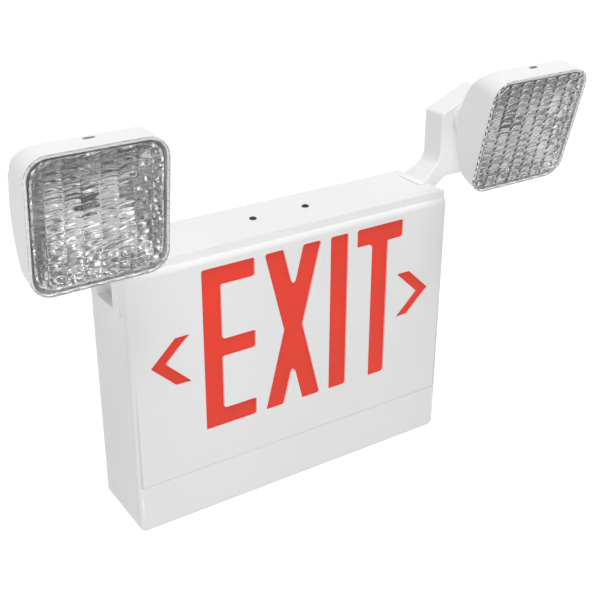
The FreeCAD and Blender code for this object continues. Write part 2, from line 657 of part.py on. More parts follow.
def socket():
    """Lamp holder that plugs the reflector's neck."""
    y = REFLECTOR_START + REFLECTOR_D
    body = rod(SOCKET_R, LAMP_SEAT + SOCKET_T, (0, y - LAMP_SEAT, 0), (0, 1, 0))
    collar = rod(SOCKET_R + SOCKET_RIM, SOCKET_T / 2, (0, y + REFLECTOR_T, 0), (0, 1, 0))
    return fuse(body, collar)


def lamp():
    y = REFLECTOR_START + REFLECTOR_D - LAMP_SEAT
    glass = rod(LAMP_R, LAMP_L - LAMP_R, (0, y, 0), (0, -1, 0))
    tip = Part.makeSphere(LAMP_R, Vector(0, y - LAMP_L + LAMP_R, 0))
    return fuse(glass, tip)


def tilt_pin():
    """Screw pin across the ears."""
    side = TONGUE_T / 2 + EAR_GAP + EAR_T
    shank = rod(PIN_R, 2 * side, (-side, HINGE_BACK, -HINGE_DOWN), (1, 0, 0))
    caps = [rod(PIN_HEAD_R, PIN_HEAD_T, (side, HINGE_BACK, -HINGE_DOWN), (1, 0, 0)),
            rod(PIN_HEAD_R, PIN_HEAD_T, (-side - PIN_HEAD_T, HINGE_BACK, -HINGE_DOWN), (1, 0, 0))]
    return fuse(shank, *caps)


# ---------------------------------------------------------------- inner parts

def battery_cells():
    cells = []
    start = BATTERY_X - CELL_L * CELL_COUNT / 2
    for i in range(CELL_COUNT):
        x = start + i * CELL_L
        can = rod(CELL_R, CELL_L - CELL_TIP_L, (x, CELL_Y, BATTERY_Z), (1, 0, 0))
        tip = rod(CELL_TIP_R, CELL_TIP_L, (x + CELL_L - CELL_TIP_L, CELL_Y, BATTERY_Z), (1, 0, 0))
        cells.append(fuse(can, tip))
    return Part.makeCompound(cells)


def battery_cradle():
    """Trough on the back plate with end walls and two snap ribs."""
    length = CELL_L * CELL_COUNT + 2 * FIT
    x = (BATTERY_X - length / 2 - CRADLE_T, BATTERY_X + length / 2 + CRADLE_T)
    r = CELL_R + FIT
    z = (BATTERY_Z - r - CRADLE_T, BATTERY_Z + r + CRADLE_T)
    block = box(x, (CELL_Y - CRADLE_HOLD, BACK_PLATE_Y), z)
    room = rod(r, length, (x[0] + CRADLE_T, CELL_Y, BATTERY_Z), (1, 0, 0))
    front_y = (CELL_Y - CRADLE_HOLD - 1.0, CELL_Y)
    mouth = box((x[0] + CRADLE_T, x[1] - CRADLE_T), front_y, (BATTERY_Z - r, BATTERY_Z + r))
    gaps = [box((x[0] + CRADLE_T + share * length, x[0] + CRADLE_T + share * length + length / 4),
                front_y, (z[0] - 1, z[1] + 1)) for share in CRADLE_GAPS]
    return block.cut(Part.makeCompound([room, mouth] + gaps))


def board_screw_places():
    x0, x1 = BOARD_X
    z0, z1 = BOARD_Z
    inset = BOARD_SCREW_INSET
    return [(x, z) for x in (x0 + inset, x1 - inset) for z in (z0 + inset, z1 - inset)]


def charger_board():
    board = box(BOARD_X, (BOARD_FRONT_Y, BOARD_BACK_Y), BOARD_Z)
    holes = [rod(SCREW_R + 0.1, BOARD_T, (x, BOARD_FRONT_Y, z), (0, 1, 0)) for x, z in board_screw_places()]
    return board.cut(Part.makeCompound(holes))


def board_screws():
    screws = []
    for x, z in board_screw_places():
        shank = rod(SCREW_R, BOARD_T + BOARD_SCREW_BITE, (x, BOARD_FRONT_Y, z), (0, 1, 0))
        head = rod(SCREW_HEAD_R, SCREW_HEAD_T, (x, BOARD_FRONT_Y, z), (0, -1, 0))
        screws.append(fuse(shank, head))
    return Part.makeCompound(screws)


def on_board(size, x, z, lift=0.0):
    """Box of (across, out, up) that stands on the board at its middle."""
    return box((x - size[0] / 2, x + size[0] / 2), (BOARD_FRONT_Y - lift - size[1], BOARD_FRONT_Y - lift),
               (z - size[2] / 2, z + size[2] / 2))


def transformer():
    """Stack of core sheets round the middle of a wound coil."""
    x = BOARD_X[1] - TRANSFORMER_SIDE
    z = sum(BOARD_Z) / 2
    core = on_board(CORE_SIZE, x, z, (COIL_SIZE[1] - CORE_SIZE[1]) / 2)
    coil = on_board(COIL_SIZE, x, z)
    coil = coil.makeFillet(COIL_R, [e for e in coil.Edges if e.BoundBox.YLength > 1])
    return fuse(core, coil)


def board_capacitors():
    z = BOARD_Z[1] - CAPACITOR_DROP
    x = BOARD_X[0] + CAPACITOR_SIDE
    cans = []
    for i in range(2):
        can = rod(CAPACITOR_R, CAPACITOR_L, (x + i * CAPACITOR_PITCH, BOARD_FRONT_Y, z), (0, -1, 0))
        top = [e for e in can.Edges if e.BoundBox.YMax < BOARD_FRONT_Y - CAPACITOR_L + 1e-6]
        cans.append(can.makeChamfer(CAPACITOR_EDGE, top))
    return Part.makeCompound(cans)


def board_relay():
    return on_board(RELAY_SIZE, BOARD_X[0] + RELAY_SIDE, sum(BOARD_Z) / 2)


def terminal_block():
    x = BOARD_X[0] + TERMINAL_SIDE
    z = BOARD_Z[1] - TERMINAL_DROP
    block = on_board(TERMINAL_SIZE, x, z)
    middle_y = BOARD_FRONT_Y - TERMINAL_SIZE[1] / 2
    top_z = z + TERMINAL_SIZE[2] / 2
    ports = [rod(PORT_R, PORT_D, (x + dx, middle_y, top_z), (0, 0, -1)) for dx in (-PORT_PITCH, 0.0, PORT_PITCH)]
    return block.cut(Part.makeCompound(ports))


def test_switch():
    """Push switch at the board's lower edge, over the button."""
    low = FLOOR_Z + BUTTON_FLANGE_T + BUTTON_TRAVEL + FIT
    half_x = SWITCH_SIZE[0] / 2
    body = box((BUTTON_X - half_x, BUTTON_X + half_x),
               (BUTTON_Y - SWITCH_SIZE[1] / 2, BUTTON_Y + SWITCH_SIZE[1] / 2), (low, low + SWITCH_SIZE[2]))
    foot = box((BUTTON_X - half_x, BUTTON_X + half_x),
               (BUTTON_Y + SWITCH_SIZE[1] / 2 - 1, BOARD_FRONT_Y), (BOARD_Z[0], low + SWITCH_SIZE[2]))
    return fuse(body, foot)


def test_button():
    length = FLOOR_Z - FOOT_Z + BUTTON_OUT
    cap = rod(BUTTON_R, length, (BUTTON_X, BUTTON_Y, FOOT_Z - BUTTON_OUT), (0, 0, 1))
    rim = [e for e in cap.Edges if e.BoundBox.ZMax < FOOT_Z - BUTTON_OUT + 1e-6]
    cap = cap.makeChamfer(BUTTON_EDGE, rim)
    flange = rod(BUTTON_FLANGE_R, BUTTON_FLANGE_T, (BUTTON_X, BUTTON_Y, FLOOR_Z), (0, 0, 1))
    return fuse(cap, flange)


def pilot_lamp():
    barrel = rod(PILOT_R, WALL + 5.0, (PILOT_X, BUTTON_Y, FOOT_Z), (0, 0, 1))
    cap = box((PILOT_X - PILOT_R, PILOT_X + PILOT_R), (BUTTON_Y - PILOT_R, BUTTON_Y + PILOT_R),
              (FOOT_Z - PILOT_OUT, FOOT_Z))
    dome = Part.makeSphere(PILOT_R, Vector(PILOT_X, BUTTON_Y, FOOT_Z)).common(cap)
    rim = rod(PILOT_R + PILOT_RIM, PILOT_RIM, (PILOT_X, BUTTON_Y, FLOOR_Z), (0, 0, 1))
    return fuse(barrel, dome, rim)


def led_bar(z0):
    return box((-LED_BAR_HALF, LED_BAR_HALF), (LED_Y - LED_BAR_W / 2, LED_Y + LED_BAR_W / 2),
               (z0, z0 + BOARD_T))


def upper_bar_z():
    return TOP_Z - WALL - LED_BAR_RIB - BOARD_T


def led_chips():
    """Light-emitting chips on both bars, facing each other."""
    chips = []
    w, d, h = LED_SIZE
    pitch = 2 * (LED_BAR_HALF - LED_MARGIN) / (LED_COUNT - 1)
    for i in range(LED_COUNT):
        x = (i - (LED_COUNT - 1) / 2) * pitch
        for z in (upper_bar_z() - h, SHELF_Z + BOARD_T):
            chips.append(box((x - w / 2, x + w / 2), (LED_Y - d / 2, LED_Y + d / 2), (z, z + h)))
    return Part.makeCompound(chips)


def write(name, shape):
    """Checks that every solid is sound, then saves the node."""
    if not shape.isValid():
        raise ValueError(name + " is not a valid shape")
    shape.exportStep("parts/" + name + ".step")
    print(f"{name:20s} solids {len(shape.Solids):3d}  volume {shape.Volume / 1000:9.2f} cm3")


def main():
    os.makedirs("parts", exist_ok=True)
    write("housing_frame", housing_frame())
    write("back_plate", back_plate())
    write("face_plate", face_plate())
    write("diffuser_panel", diffuser_panel())
    write("led_bar_upper", led_bar(upper_bar_z()))
    write("led_bar_lower", led_bar(SHELF_Z))
    write("led_chips", led_chips())
    write("battery_cradle", battery_cradle())
    write("battery_cells", battery_cells())
    write("charger_board", charger_board())
    write("board_screws", board_screws())
    write("transformer", transformer())
    write("board_capacitors", board_capacitors())
    write("board_relay", board_relay())
    write("terminal_block", terminal_block())
    write("test_switch", test_switch())
    write("test_button", test_button())
    write("pilot_lamp", pilot_lamp())
    write("arm_screws", arm_screws())
    for name, shape in {"arm": arm(), "neck": neck(), "swivel_nut": swivel_nut()}.items():
        write(name + "_right", shape)
        write(name + "_left", mirrored(shape))
    heads = {"casing": casing(), "reflector": reflector(), "lamp_socket": socket(), "lamp": lamp(),
             "lens": lens(), "tilt_pin": tilt_pin()}
    for name, shape in heads.items():
        write(name + "_right", placed(shape, TILT_RIGHT))
        write(name + "_left", mirrored(placed(shape, TILT_LEFT)))


main()
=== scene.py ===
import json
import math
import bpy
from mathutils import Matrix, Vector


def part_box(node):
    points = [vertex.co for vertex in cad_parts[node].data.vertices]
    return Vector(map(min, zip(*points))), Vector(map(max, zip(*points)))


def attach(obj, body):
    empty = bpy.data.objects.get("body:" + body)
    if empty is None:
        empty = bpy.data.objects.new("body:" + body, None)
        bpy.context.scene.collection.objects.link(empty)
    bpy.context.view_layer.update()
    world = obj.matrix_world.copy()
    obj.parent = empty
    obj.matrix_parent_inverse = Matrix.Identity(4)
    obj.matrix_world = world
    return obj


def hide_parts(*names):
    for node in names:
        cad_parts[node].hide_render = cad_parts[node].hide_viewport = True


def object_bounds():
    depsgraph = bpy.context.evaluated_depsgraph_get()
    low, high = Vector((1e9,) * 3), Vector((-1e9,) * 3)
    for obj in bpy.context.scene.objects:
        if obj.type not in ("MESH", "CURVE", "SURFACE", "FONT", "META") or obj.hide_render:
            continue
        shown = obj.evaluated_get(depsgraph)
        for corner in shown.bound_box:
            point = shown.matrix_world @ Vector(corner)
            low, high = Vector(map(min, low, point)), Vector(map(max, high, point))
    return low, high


bl_info = {
    "name": "Exit Light Looks",
    "version": (1, 0, 0),
    "blender": (4, 5, 0),
    "location": "3D View > Sidebar > Exit Light",
    "description": "Builds the visible pieces, finishes and stage of a wall-mounted emergency exit light",
    "category": "Object",
}

import bmesh
import bpy
from bpy.props import FloatProperty, FloatVectorProperty, IntProperty, PointerProperty
from mathutils import Matrix, Vector

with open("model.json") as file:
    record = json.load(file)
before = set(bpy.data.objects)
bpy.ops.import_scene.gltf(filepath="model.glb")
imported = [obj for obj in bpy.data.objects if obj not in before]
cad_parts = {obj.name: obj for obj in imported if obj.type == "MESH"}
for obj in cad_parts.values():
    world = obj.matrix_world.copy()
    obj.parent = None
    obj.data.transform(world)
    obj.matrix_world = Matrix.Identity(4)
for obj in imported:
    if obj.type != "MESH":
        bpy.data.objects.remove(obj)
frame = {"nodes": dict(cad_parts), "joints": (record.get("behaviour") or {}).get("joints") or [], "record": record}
CAD_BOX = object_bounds()
SIDES = ("right", "left")

MILLIMETRE = 0.001
SAME_PLACE = 1e-6                  # points nearer than this are one point
FLAT_ANGLE = math.radians(0.5)     # faces that turn by less than this are one flat face
QUARTER_TURN = math.radians(90)
CORNER_SEGMENTS = 6                # edges round one corner of a sign opening
ROUND_STEPS = 32                   # faces round a turned piece
LARGE_FACES_LEAD = 100             # a weighted normal's strongest pull towards large faces
WHITE = (1.0, 1.0, 1.0, 1.0)
SENSOR_WIDTH = 36.0                # camera sensor, in millimetres


# ------------------------------------------------------------------ settings

class SignSettings(bpy.types.PropertyGroup):
    """Openings in the face plate, measured from its lower edge and its middle."""

    word_left: FloatProperty(
        name="Word left", description="Left end of the word, from the middle of the face",
        default=-0.0960, unit="LENGTH")
    word_low: FloatProperty(
        name="Word low", description="Lower edge of the letters above the face plate's lower edge",
        default=0.0831, unit="LENGTH")
    letter_height: FloatProperty(
        name="Letter height", description="Height of every letter, six inches in such signs",
        default=0.1532, unit="LENGTH")
    letter_gap: FloatProperty(
        name="Letter gap", description="Space between neighbouring letters",
        default=0.0098, unit="LENGTH")
    stroke: FloatProperty(
        name="Upright stroke", description="Width of the upright strokes",
        default=0.0182, unit="LENGTH")
    bar: FloatProperty(
        name="Level stroke", description="Height of the level strokes",
        default=0.0175, unit="LENGTH")
    e_width: FloatProperty(name="E width", description="Width of the E", default=0.0510, unit="LENGTH")
    x_width: FloatProperty(name="X width", description="Width of the X", default=0.0582, unit="LENGTH")
    t_width: FloatProperty(name="T width", description="Width of the T", default=0.0512, unit="LENGTH")
    i_width: FloatProperty(name="I width", description="Width of the I", default=0.0190, unit="LENGTH")
    x_limb: FloatProperty(
        name="X limb", description="Level width of one limb of the X at its end",
        default=0.0190, unit="LENGTH")
    x_waist: FloatProperty(
        name="X waist", description="Width of the X at its middle", default=0.0196, unit="LENGTH")
    corner: FloatProperty(
        name="Corner radius", description="Radius of the openings' corners", default=0.0024, unit="LENGTH")
    chevron_tip: FloatProperty(
        name="Chevron tip", description="Distance of each chevron's tip from the middle of the face",
        default=0.1458, unit="LENGTH")
    chevron_depth: FloatProperty(
        name="Chevron depth", description="From a chevron's tip to its outer ends", default=0.0233,
        unit="LENGTH")
    chevron_limb: FloatProperty(
        name="Chevron limb", description="Level width of a chevron's limb", default=0.0143, unit="LENGTH")
    chevron_height: FloatProperty(
        name="Chevron height", description="Height of a chevron", default=0.0450, unit="LENGTH")
    edge: FloatProperty(
        name="Opening edge", description="Small bevel round the openings", default=0.0003, unit="LENGTH")


class HeadSettings(bpy.types.PropertyGroup):
    """Optics of the two lamp heads, in each head's own axes."""

    tilt_right: FloatProperty(
        name="Right tilt", description="How far the right head looks down at rest",
        default=math.radians(13.5), unit="ROTATION")
    tilt_left: FloatProperty(
        name="Left tilt", description="How far the left head looks down at rest",
        default=math.radians(6.5), unit="ROTATION")
    hinge_back: FloatProperty(
        name="Hinge back", description="Hinge behind the head's front plane", default=0.046, unit="LENGTH")
    hinge_down: FloatProperty(
        name="Hinge down", description="Hinge below the head's centre", default=0.019, unit="LENGTH")
    columns: IntProperty(
        name="Lens columns", description="Upright columns of flutes across a lens", default=8, min=1)
    flute_pitch: FloatProperty(
        name="Flute pitch", description="Height of one level flute", default=0.0059, unit="LENGTH")
    flute_depth: FloatProperty(
        name="Flute depth", description="Crown of one flute", default=0.0007, unit="LENGTH")
    flute_bow: FloatProperty(
        name="Flute bow", description="Rise of a flute from its ends to its middle", default=0.0004,
        unit="LENGTH")
    column_depth: FloatProperty(
        name="Column depth", description="Crown of one column", default=0.0008, unit="LENGTH")
    lens_skin: FloatProperty(
        name="Lens skin", description="Thinnest place of the lens", default=0.0005, unit="LENGTH")
    lens_rim: FloatProperty(
        name="Lens rim", description="Plain border of the lens", default=0.0004, unit="LENGTH")
    lens_fade: FloatProperty(
        name="Flute run-out", description="Width over which the flutes run out at the lens's border",
        default=0.0014, unit="LENGTH")
    bowl_rim: FloatProperty(
        name="Reflector border", description="Flat border round the reflector's bowl", default=0.0015,
        unit="LENGTH")
    bowl_wall: FloatProperty(
        name="Reflector wall", description="Thickness of the reflector", default=0.0008, unit="LENGTH")
    bowl_side: FloatProperty(
        name="Reflector side", description="Half width of the bowl at the depth of the lamp's socket",
        default=0.031, unit="LENGTH")
    bowl_neck: FloatProperty(
        name="Reflector neck", description="Half height of the bowl at the depth of the socket",
        default=0.013, unit="LENGTH")
    bowl_square: FloatProperty(
        name="Reflector squareness", description="2 makes a round mouth and more a squarer one",
        default=8.0, min=2.0)
    glass_wall: FloatProperty(
        name="Bulb wall", description="Wall of the lamp's glass", default=0.0006, unit="LENGTH")
    coil_radius: FloatProperty(
        name="Filament radius", description="Radius of the filament's coil", default=0.0007, unit="LENGTH")
    coil_turns: IntProperty(
        name="Filament turns", description="Turns of the filament's coil", default=9, min=1)
    wire_radius: FloatProperty(
        name="Wire radius", description="Radius of the filament's wire", default=0.00014, unit="LENGTH")
    slot_width: FloatProperty(
        name="Pin slot", description="Width of the driver slot in a hinge pin", default=0.0010,
        unit="LENGTH")
    slot_depth: FloatProperty(
        name="Slot depth", description="Depth of the driver slot in a hinge pin", default=0.0009,
        unit="LENGTH")


class GrommetSettings(bpy.types.PropertyGroup):
    """Black rubber rings in the two screw holes of the top, whose darkness is painted shade inside the holes."""

    bore: FloatProperty(
        name="Bore", description="Radius of the ring's bore", default=0.0016, unit="LENGTH")
    play: FloatProperty(
        name="Play", description="Gap between ring and hole", default=0.00005, unit="LENGTH")
    reach: FloatProperty(
        name="Reach", description="How far the ring goes down its hole", default=0.0022, unit="LENGTH")
    lip: FloatProperty(
        name="Lip", description="Overlap of the ring's lip on the top", default=0.0004, unit="LENGTH")
    rise: FloatProperty(
        name="Rise", description="Height of the lip above the top", default=0.0009, unit="LENGTH")


class FinishSettings(bpy.types.PropertyGroup):
    """Colours of the finishes a user is most likely to change."""

    white: FloatVectorProperty(
        name="White plastic", description="Moulded housing and heads", subtype="COLOR",
        size=3, min=0.0, max=1.0, default=(0.84, 0.84, 0.835))
    face: FloatVectorProperty(
        name="Face plate", description="Moulded face plate", subtype="COLOR",
        size=3, min=0.0, max=1.0, default=(0.80, 0.80, 0.80))
    red: FloatVectorProperty(
        name="Sign red", description="Panel behind the word", subtype="COLOR",
        size=3, min=0.0, max=1.0, default=(0.80, 0.030, 0.007))
    lens: FloatVectorProperty(
        name="Lens", description="Clear plastic of the lamp lenses", subtype="COLOR",
        size=3, min=0.0, max=1.0, default=(0.98, 0.98, 0.975))


class StageSettings(bpy.types.PropertyGroup):
    """Floor, light and camera."""

    floor_drop: FloatProperty(
        name="Floor drop", description="Floor below the object's lowest point", default=0.85, unit="LENGTH")
    floor_size: FloatProperty(
        name="Floor size", description="Half of the floor's side", default=25.0, unit="LENGTH")
    floor_colour: FloatVectorProperty(
        name="Floor colour", description="Pale floor", subtype="COLOR",
        size=3, min=0.0, max=1.0, default=(0.86, 0.86, 0.86))
    floor_glow: FloatProperty(
        name="Floor glow", description="Lift of the floor to white where it shows as background",
        default=0.25, min=0.0)
    room_level: FloatProperty(
        name="Room light", description="Even light from all round", default=0.415, min=0.0)
    key_level: FloatProperty(
        name="Key light", description="Strength of the soft light from above", default=1.94, min=0.0)
    fill_power: FloatProperty(
        name="Fill light", description="Power of the panel light in front", default=0.52, min=0.0,
        unit="POWER")
    fill_size: FloatProperty(
        name="Fill size", description="Side of the panel light", default=0.3, unit="LENGTH")
    fill_place: FloatVectorProperty(
        name="Fill place", description="Where the panel light stands", subtype="TRANSLATION",
        size=3, default=(-0.34, -0.52, 0.16))
    key_height: FloatProperty(
        name="Key height", description="Elevation of the soft light", default=math.radians(73),
        unit="ROTATION")
    key_turn: FloatProperty(
        name="Key turn", description="Direction of the soft light, left of straight ahead",
        default=math.radians(8), unit="ROTATION")
    key_spread: FloatProperty(
        name="Key spread", description="Apparent size of the soft light", default=math.radians(28),
        unit="ROTATION")
    camera_place: FloatVectorProperty(
        name="Camera place", description="Where the camera stands", subtype="TRANSLATION",
        size=3, default=(-0.48048, -0.79396, 0.48270))
    camera_azimuth: FloatProperty(
        name="Camera azimuth", description="Camera's direction round the object",
        default=math.radians(-33.635), unit="ROTATION")
    camera_elevation: FloatProperty(
        name="Camera elevation", description="Camera's look down", default=math.radians(26.035),
        unit="ROTATION")
    camera_roll: FloatProperty(
        name="Camera roll", description="Camera's roll about its axis", default=math.radians(0.272),
        unit="ROTATION")
    camera_lens: FloatProperty(
        name="Camera lens", description="Focal length in millimetres", default=66.25, min=1.0)


# ------------------------------------------------------------------ mesh helpers

def placed(name, data):
    """New object in the scene for a mesh, a light or a camera."""
    item = bpy.data.objects.new(name, data)
    bpy.context.scene.collection.objects.link(item)
    return item


def as_mesh(name, bm):
    """New mesh from a bmesh, which is used up."""
    mesh = bpy.data.meshes.new(name)
    bm.to_mesh(mesh)
    bm.free()
    return mesh


def from_node(node):
    """A merged copy of a CAD node's mesh."""
    bm = bmesh.new()
    bm.from_mesh(frame["nodes"][node].data)
    bmesh.ops.remove_doubles(bm, verts=bm.verts, dist=SAME_PLACE)
    return bm


def cut(body, cutter):
    """Takes one closed mesh out of another; both are used up."""
    main, tool = (placed("work", as_mesh("work", bm)) for bm in (body, cutter))
    boolean = main.modifiers.new("Cut", "BOOLEAN")
    boolean.operation = "DIFFERENCE"
    boolean.solver = "EXACT"
    boolean.object = tool
    result = bmesh.new()
    result.from_object(main, bpy.context.evaluated_depsgraph_get())
    for work in (main, tool):
        mesh = work.data
        bpy.data.objects.remove(work)
        bpy.data.meshes.remove(mesh)
    if not result.faces:
        raise RuntimeError("a cut left nothing")
    return result


def merged(*parts):
    """Several bmeshes as one; all are used up."""
    whole = bmesh.new()
    for part in parts:
        mesh = as_mesh("work", part)
        whole.from_mesh(mesh)
        bpy.data.meshes.remove(mesh)
    return whole


def only(kind, geometry):
    """The vertices or the edges among what an operator gives."""
    return [item for item in geometry if isinstance(item, kind)]


def outline_prism(corners, front, back):
    """Closed prism from (x, z, radius) corners, between two planes of constant y."""
    bm = bmesh.new()
    verts = [bm.verts.new((x, front, z)) for x, z, _ in corners]
    bm.faces.new(verts)
    for i, (x, z, radius) in enumerate(corners):
        if radius <= 0:
            continue
        here = Vector((x, z))
        behind = Vector(corners[i - 1][:2]) - here
        ahead = Vector(corners[(i + 1) % len(corners)][:2]) - here
        reach = radius / math.tan(behind.angle(ahead) / 2)
        bmesh.ops.bevel(bm, geom=[verts[i]], offset=reach, offset_type="OFFSET",
                        segments=CORNER_SEGMENTS, profile=0.5, affect="VERTICES", material=-1)
    grown = bmesh.ops.extrude_face_region(bm, geom=bm.faces[:])["geom"]
    bmesh.ops.translate(bm, verts=only(bmesh.types.BMVert, grown), vec=(0, back - front, 0))
    bmesh.ops.recalc_face_normals(bm, faces=bm.faces)
    return bm


def box_mesh(low, high):
    """Closed box between its lowest and highest corner."""
    bm = bmesh.new()
    place = Matrix.Translation((low + high) / 2) @ Matrix.Diagonal((*(high - low), 1))
    bmesh.ops.create_cube(bm, size=1.0, matrix=place)
    return bm


def rod_mesh(radius, start, end, sides):
    """Closed round bar between two points."""
    start, end = Vector(start), Vector(end)
    way = end - start
    place = Matrix.Translation((start + end) / 2) @ way.to_track_quat("Z", "Y").to_matrix().to_4x4()
    bm = bmesh.new()
    bmesh.ops.create_cone(bm, cap_ends=True, segments=sides, radius1=radius, radius2=radius,
                          depth=way.length, matrix=place)
    return bm


def spun(profile):
    """Shape from an (r, y) profile turned about the y axis."""
    bm = bmesh.new()
    verts = [bm.verts.new((r, y, 0)) for r, y in profile]
    edges = [bm.edges.new(pair) for pair in zip(verts, verts[1:])]
    bmesh.ops.spin(bm, geom=verts + edges, cent=(0, 0, 0), axis=(0, 1, 0), angle=2 * math.pi,
                   steps=ROUND_STEPS, use_merge=True)
    bmesh.ops.remove_doubles(bm, verts=bm.verts, dist=SAME_PLACE)
    bmesh.ops.recalc_face_normals(bm, faces=bm.faces)
    return bm


def flatten(bm):
    """Joins faces that lie in one plane."""
    bmesh.ops.dissolve_limit(bm, angle_limit=FLAT_ANGLE, verts=bm.verts, edges=bm.edges)


def sharp_edges(bm, above):
    """Edges whose faces turn by more than an angle in degrees."""
    limit = math.radians(above)
    return [edge for edge in bm.edges if edge.is_manifold and edge.calc_face_angle() > limit]


def soften(bm, edges, width, segments):
    """Small round bevel on some edges."""
    bmesh.ops.bevel(bm, geom=edges, offset=width, offset_type="OFFSET", segments=segments,
                    profile=0.5, affect="EDGES", clamp_overlap=True, material=-1)


def finish_piece(name, bm, body, material, stands_for=(), sharp=30):
    """Makes the finished object, rides it on its body and gives it its finish."""
    mesh = as_mesh(name, bm)
    mesh.materials.clear()
    mesh.materials.append(material)
    mesh.polygons.foreach_set("material_index", [0] * len(mesh.polygons))
    mesh.shade_smooth()
    mesh.set_sharp_from_angle(angle=math.radians(sharp))
    piece = placed(name, mesh)
    weight = piece.modifiers.new("Flat faces stay flat", "WEIGHTED_NORMAL")
    weight.keep_sharp = True
    weight.weight = LARGE_FACES_LEAD
    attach(piece, body)
    if stands_for:
        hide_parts(*stands_for)


# ------------------------------------------------------------------ places

def head_matrix(side):
    """A head's own axes (x across, y back, z up, front plane at y 0) in the frame."""
    heads = bpy.context.scene.exit_heads
    hinge = next(j for j in frame["joints"] if j["name"] == side + "_tilt")
    turn = Matrix.Rotation(getattr(heads, "tilt_" + side), 4, "X")
    reach = turn @ Vector((0, heads.hinge_back, -heads.hinge_down))
    return Matrix.Translation(Vector(hinge["pos_m"]) - reach) @ turn


def head_points(node, side):
    """A CAD node's points in its head's own axes."""
    back = head_matrix(side).inverted()
    return [back @ v.co for v in frame["nodes"][node].data.vertices]


def head_box(node, side):
    """Lowest and highest corner of a CAD node in its head's own axes."""
    points = head_points(node, side)
    return tuple(Vector([end(p[i] for p in points) for i in range(3)]) for end in (min, max))


# ------------------------------------------------------------------ sign face

def letter_e(sign, x, low):
    """Stem and three arms of one length."""
    right = x + sign.e_width
    stem = x + sign.stroke
    high = low + sign.letter_height
    middle = low + sign.letter_height / 2
    r = sign.corner
    return [
        (x, low, r), (right, low, r), (right, low + sign.bar, r), (stem, low + sign.bar, r),
        (stem, middle - sign.bar / 2, r), (right, middle - sign.bar / 2, r),
        (right, middle + sign.bar / 2, r), (stem, middle + sign.bar / 2, r),
        (stem, high - sign.bar, r), (right, high - sign.bar, r), (right, high, r), (x, high, r),
    ]


def letter_x(sign, x, low):
    """Two crossing limbs; the outer edges run straight to the waist."""
    half_width, half_height = sign.x_width / 2, sign.letter_height / 2
    waist = sign.x_waist / 2
    slope = (half_width - waist) / half_height
    inner = half_width - sign.x_limb
    notch_z = half_height - inner / slope
    r = sign.corner
    notch_r = r * 1.2
    limb = [(half_width, half_height, r), (inner, half_height, r)]
    outline = [(waist, 0.0, 0.0)] + limb + [(0.0, notch_z, notch_r)]
    outline += [(-u, v, c) for u, v, c in reversed(limb)] + [(-waist, 0.0, 0.0)]
    outline += [(-u, -v, c) for u, v, c in limb] + [(0.0, -notch_z, notch_r)]
    outline += [(u, -v, c) for u, v, c in reversed(limb)]
    return [(x + half_width + u, low + half_height + v, c) for u, v, c in outline]


def letter_i(sign, x, low):
    """One upright stroke."""
    r = sign.corner
    right, high = x + sign.i_width, low + sign.letter_height
    return [(x, low, r), (right, low, r), (right, high, r), (x, high, r)]


def letter_t(sign, x, low):
    """Stem under the middle of a bar."""
    r = sign.corner
    high = low + sign.letter_height
    right = x + sign.t_width
    stem = x + sign.t_width / 2 - sign.stroke / 2
    under = high - sign.bar
    return [
        (stem, low, r), (stem + sign.stroke, low, r), (stem + sign.stroke, under, r),
        (right, under, r), (right, high, r), (x, high, r), (x, under, r), (stem, under, r),
    ]


def chevron(sign, way, middle):
    """Arrow head that points to one side, 1 for right and -1 for left, sharper than the letters."""
    tip = sign.chevron_tip
    outer = tip - sign.chevron_depth
    limb = sign.chevron_limb
    half = sign.chevron_height / 2
    r = sign.corner / 3
    outline = [(tip, 0.0, r), (outer, half, r), (outer - limb, half, r),
               (tip - limb, 0.0, r), (outer - limb, -half, r), (outer, -half, r)]
    return [(way * u, middle + v, c) for u, v, c in outline]


def sign_outlines(sign, foot):
    """Every opening of the face plate, above its lower edge."""
    low = foot + sign.word_low
    middle = low + sign.letter_height / 2
    x = sign.word_left
    outlines = []
    for draw, width in ((letter_e, sign.e_width), (letter_x, sign.x_width),
                        (letter_i, sign.i_width), (letter_t, sign.t_width)):
        outlines.append(draw(sign, x, low))
        x += width + sign.letter_gap
    return outlines + [chevron(sign, way, middle) for way in (1, -1)]


class EXITLIGHT_OT_sign_face(bpy.types.Operator):
    """Cuts the word and the chevrons through the moulded face plate"""

    bl_idname = "exitlight.sign_face"
    bl_label = "Sign Face"

    def execute(self, context):
        sign = context.scene.exit_sign
        plate_low, plate_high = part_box("face_plate")
        front = plate_low.y
        skin_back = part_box("diffuser_panel")[0].y
        spare = (skin_back - front) / 4
        cutters = [outline_prism(corners, front - spare, skin_back + spare)
                   for corners in sign_outlines(sign, plate_low.z)]
        plate = cut(from_node("face_plate"), merged(*cutters))
        flatten(plate)
        inside = plate_high.x - 10 * MILLIMETRE
        rims = [edge for edge in sharp_edges(plate, above=60)
                if all(abs(v.co.y - front) < SAME_PLACE and abs(v.co.x) < inside for v in edge.verts)]
        soften(plate, rims, sign.edge, segments=2)
        finish_piece("sign_face", plate, "housing", face_plastic(), ("face_plate",))
        return {"FINISHED"}


# ------------------------------------------------------------------ lenses

def crown(place, pitch):
    """0 at both edges of a repeat and 1 in its middle."""
    share = (place / pitch) % 1.0
    return 1 - (2 * share - 1) ** 2


def inside_border(x, z, half, corner):
    """How far a point lies inside a square with round corners."""
    over = Vector((max(abs(x) - half + corner, 0), max(abs(z) - half + corner, 0)))
    return corner - over.length if over.length else half - max(abs(x), abs(z))


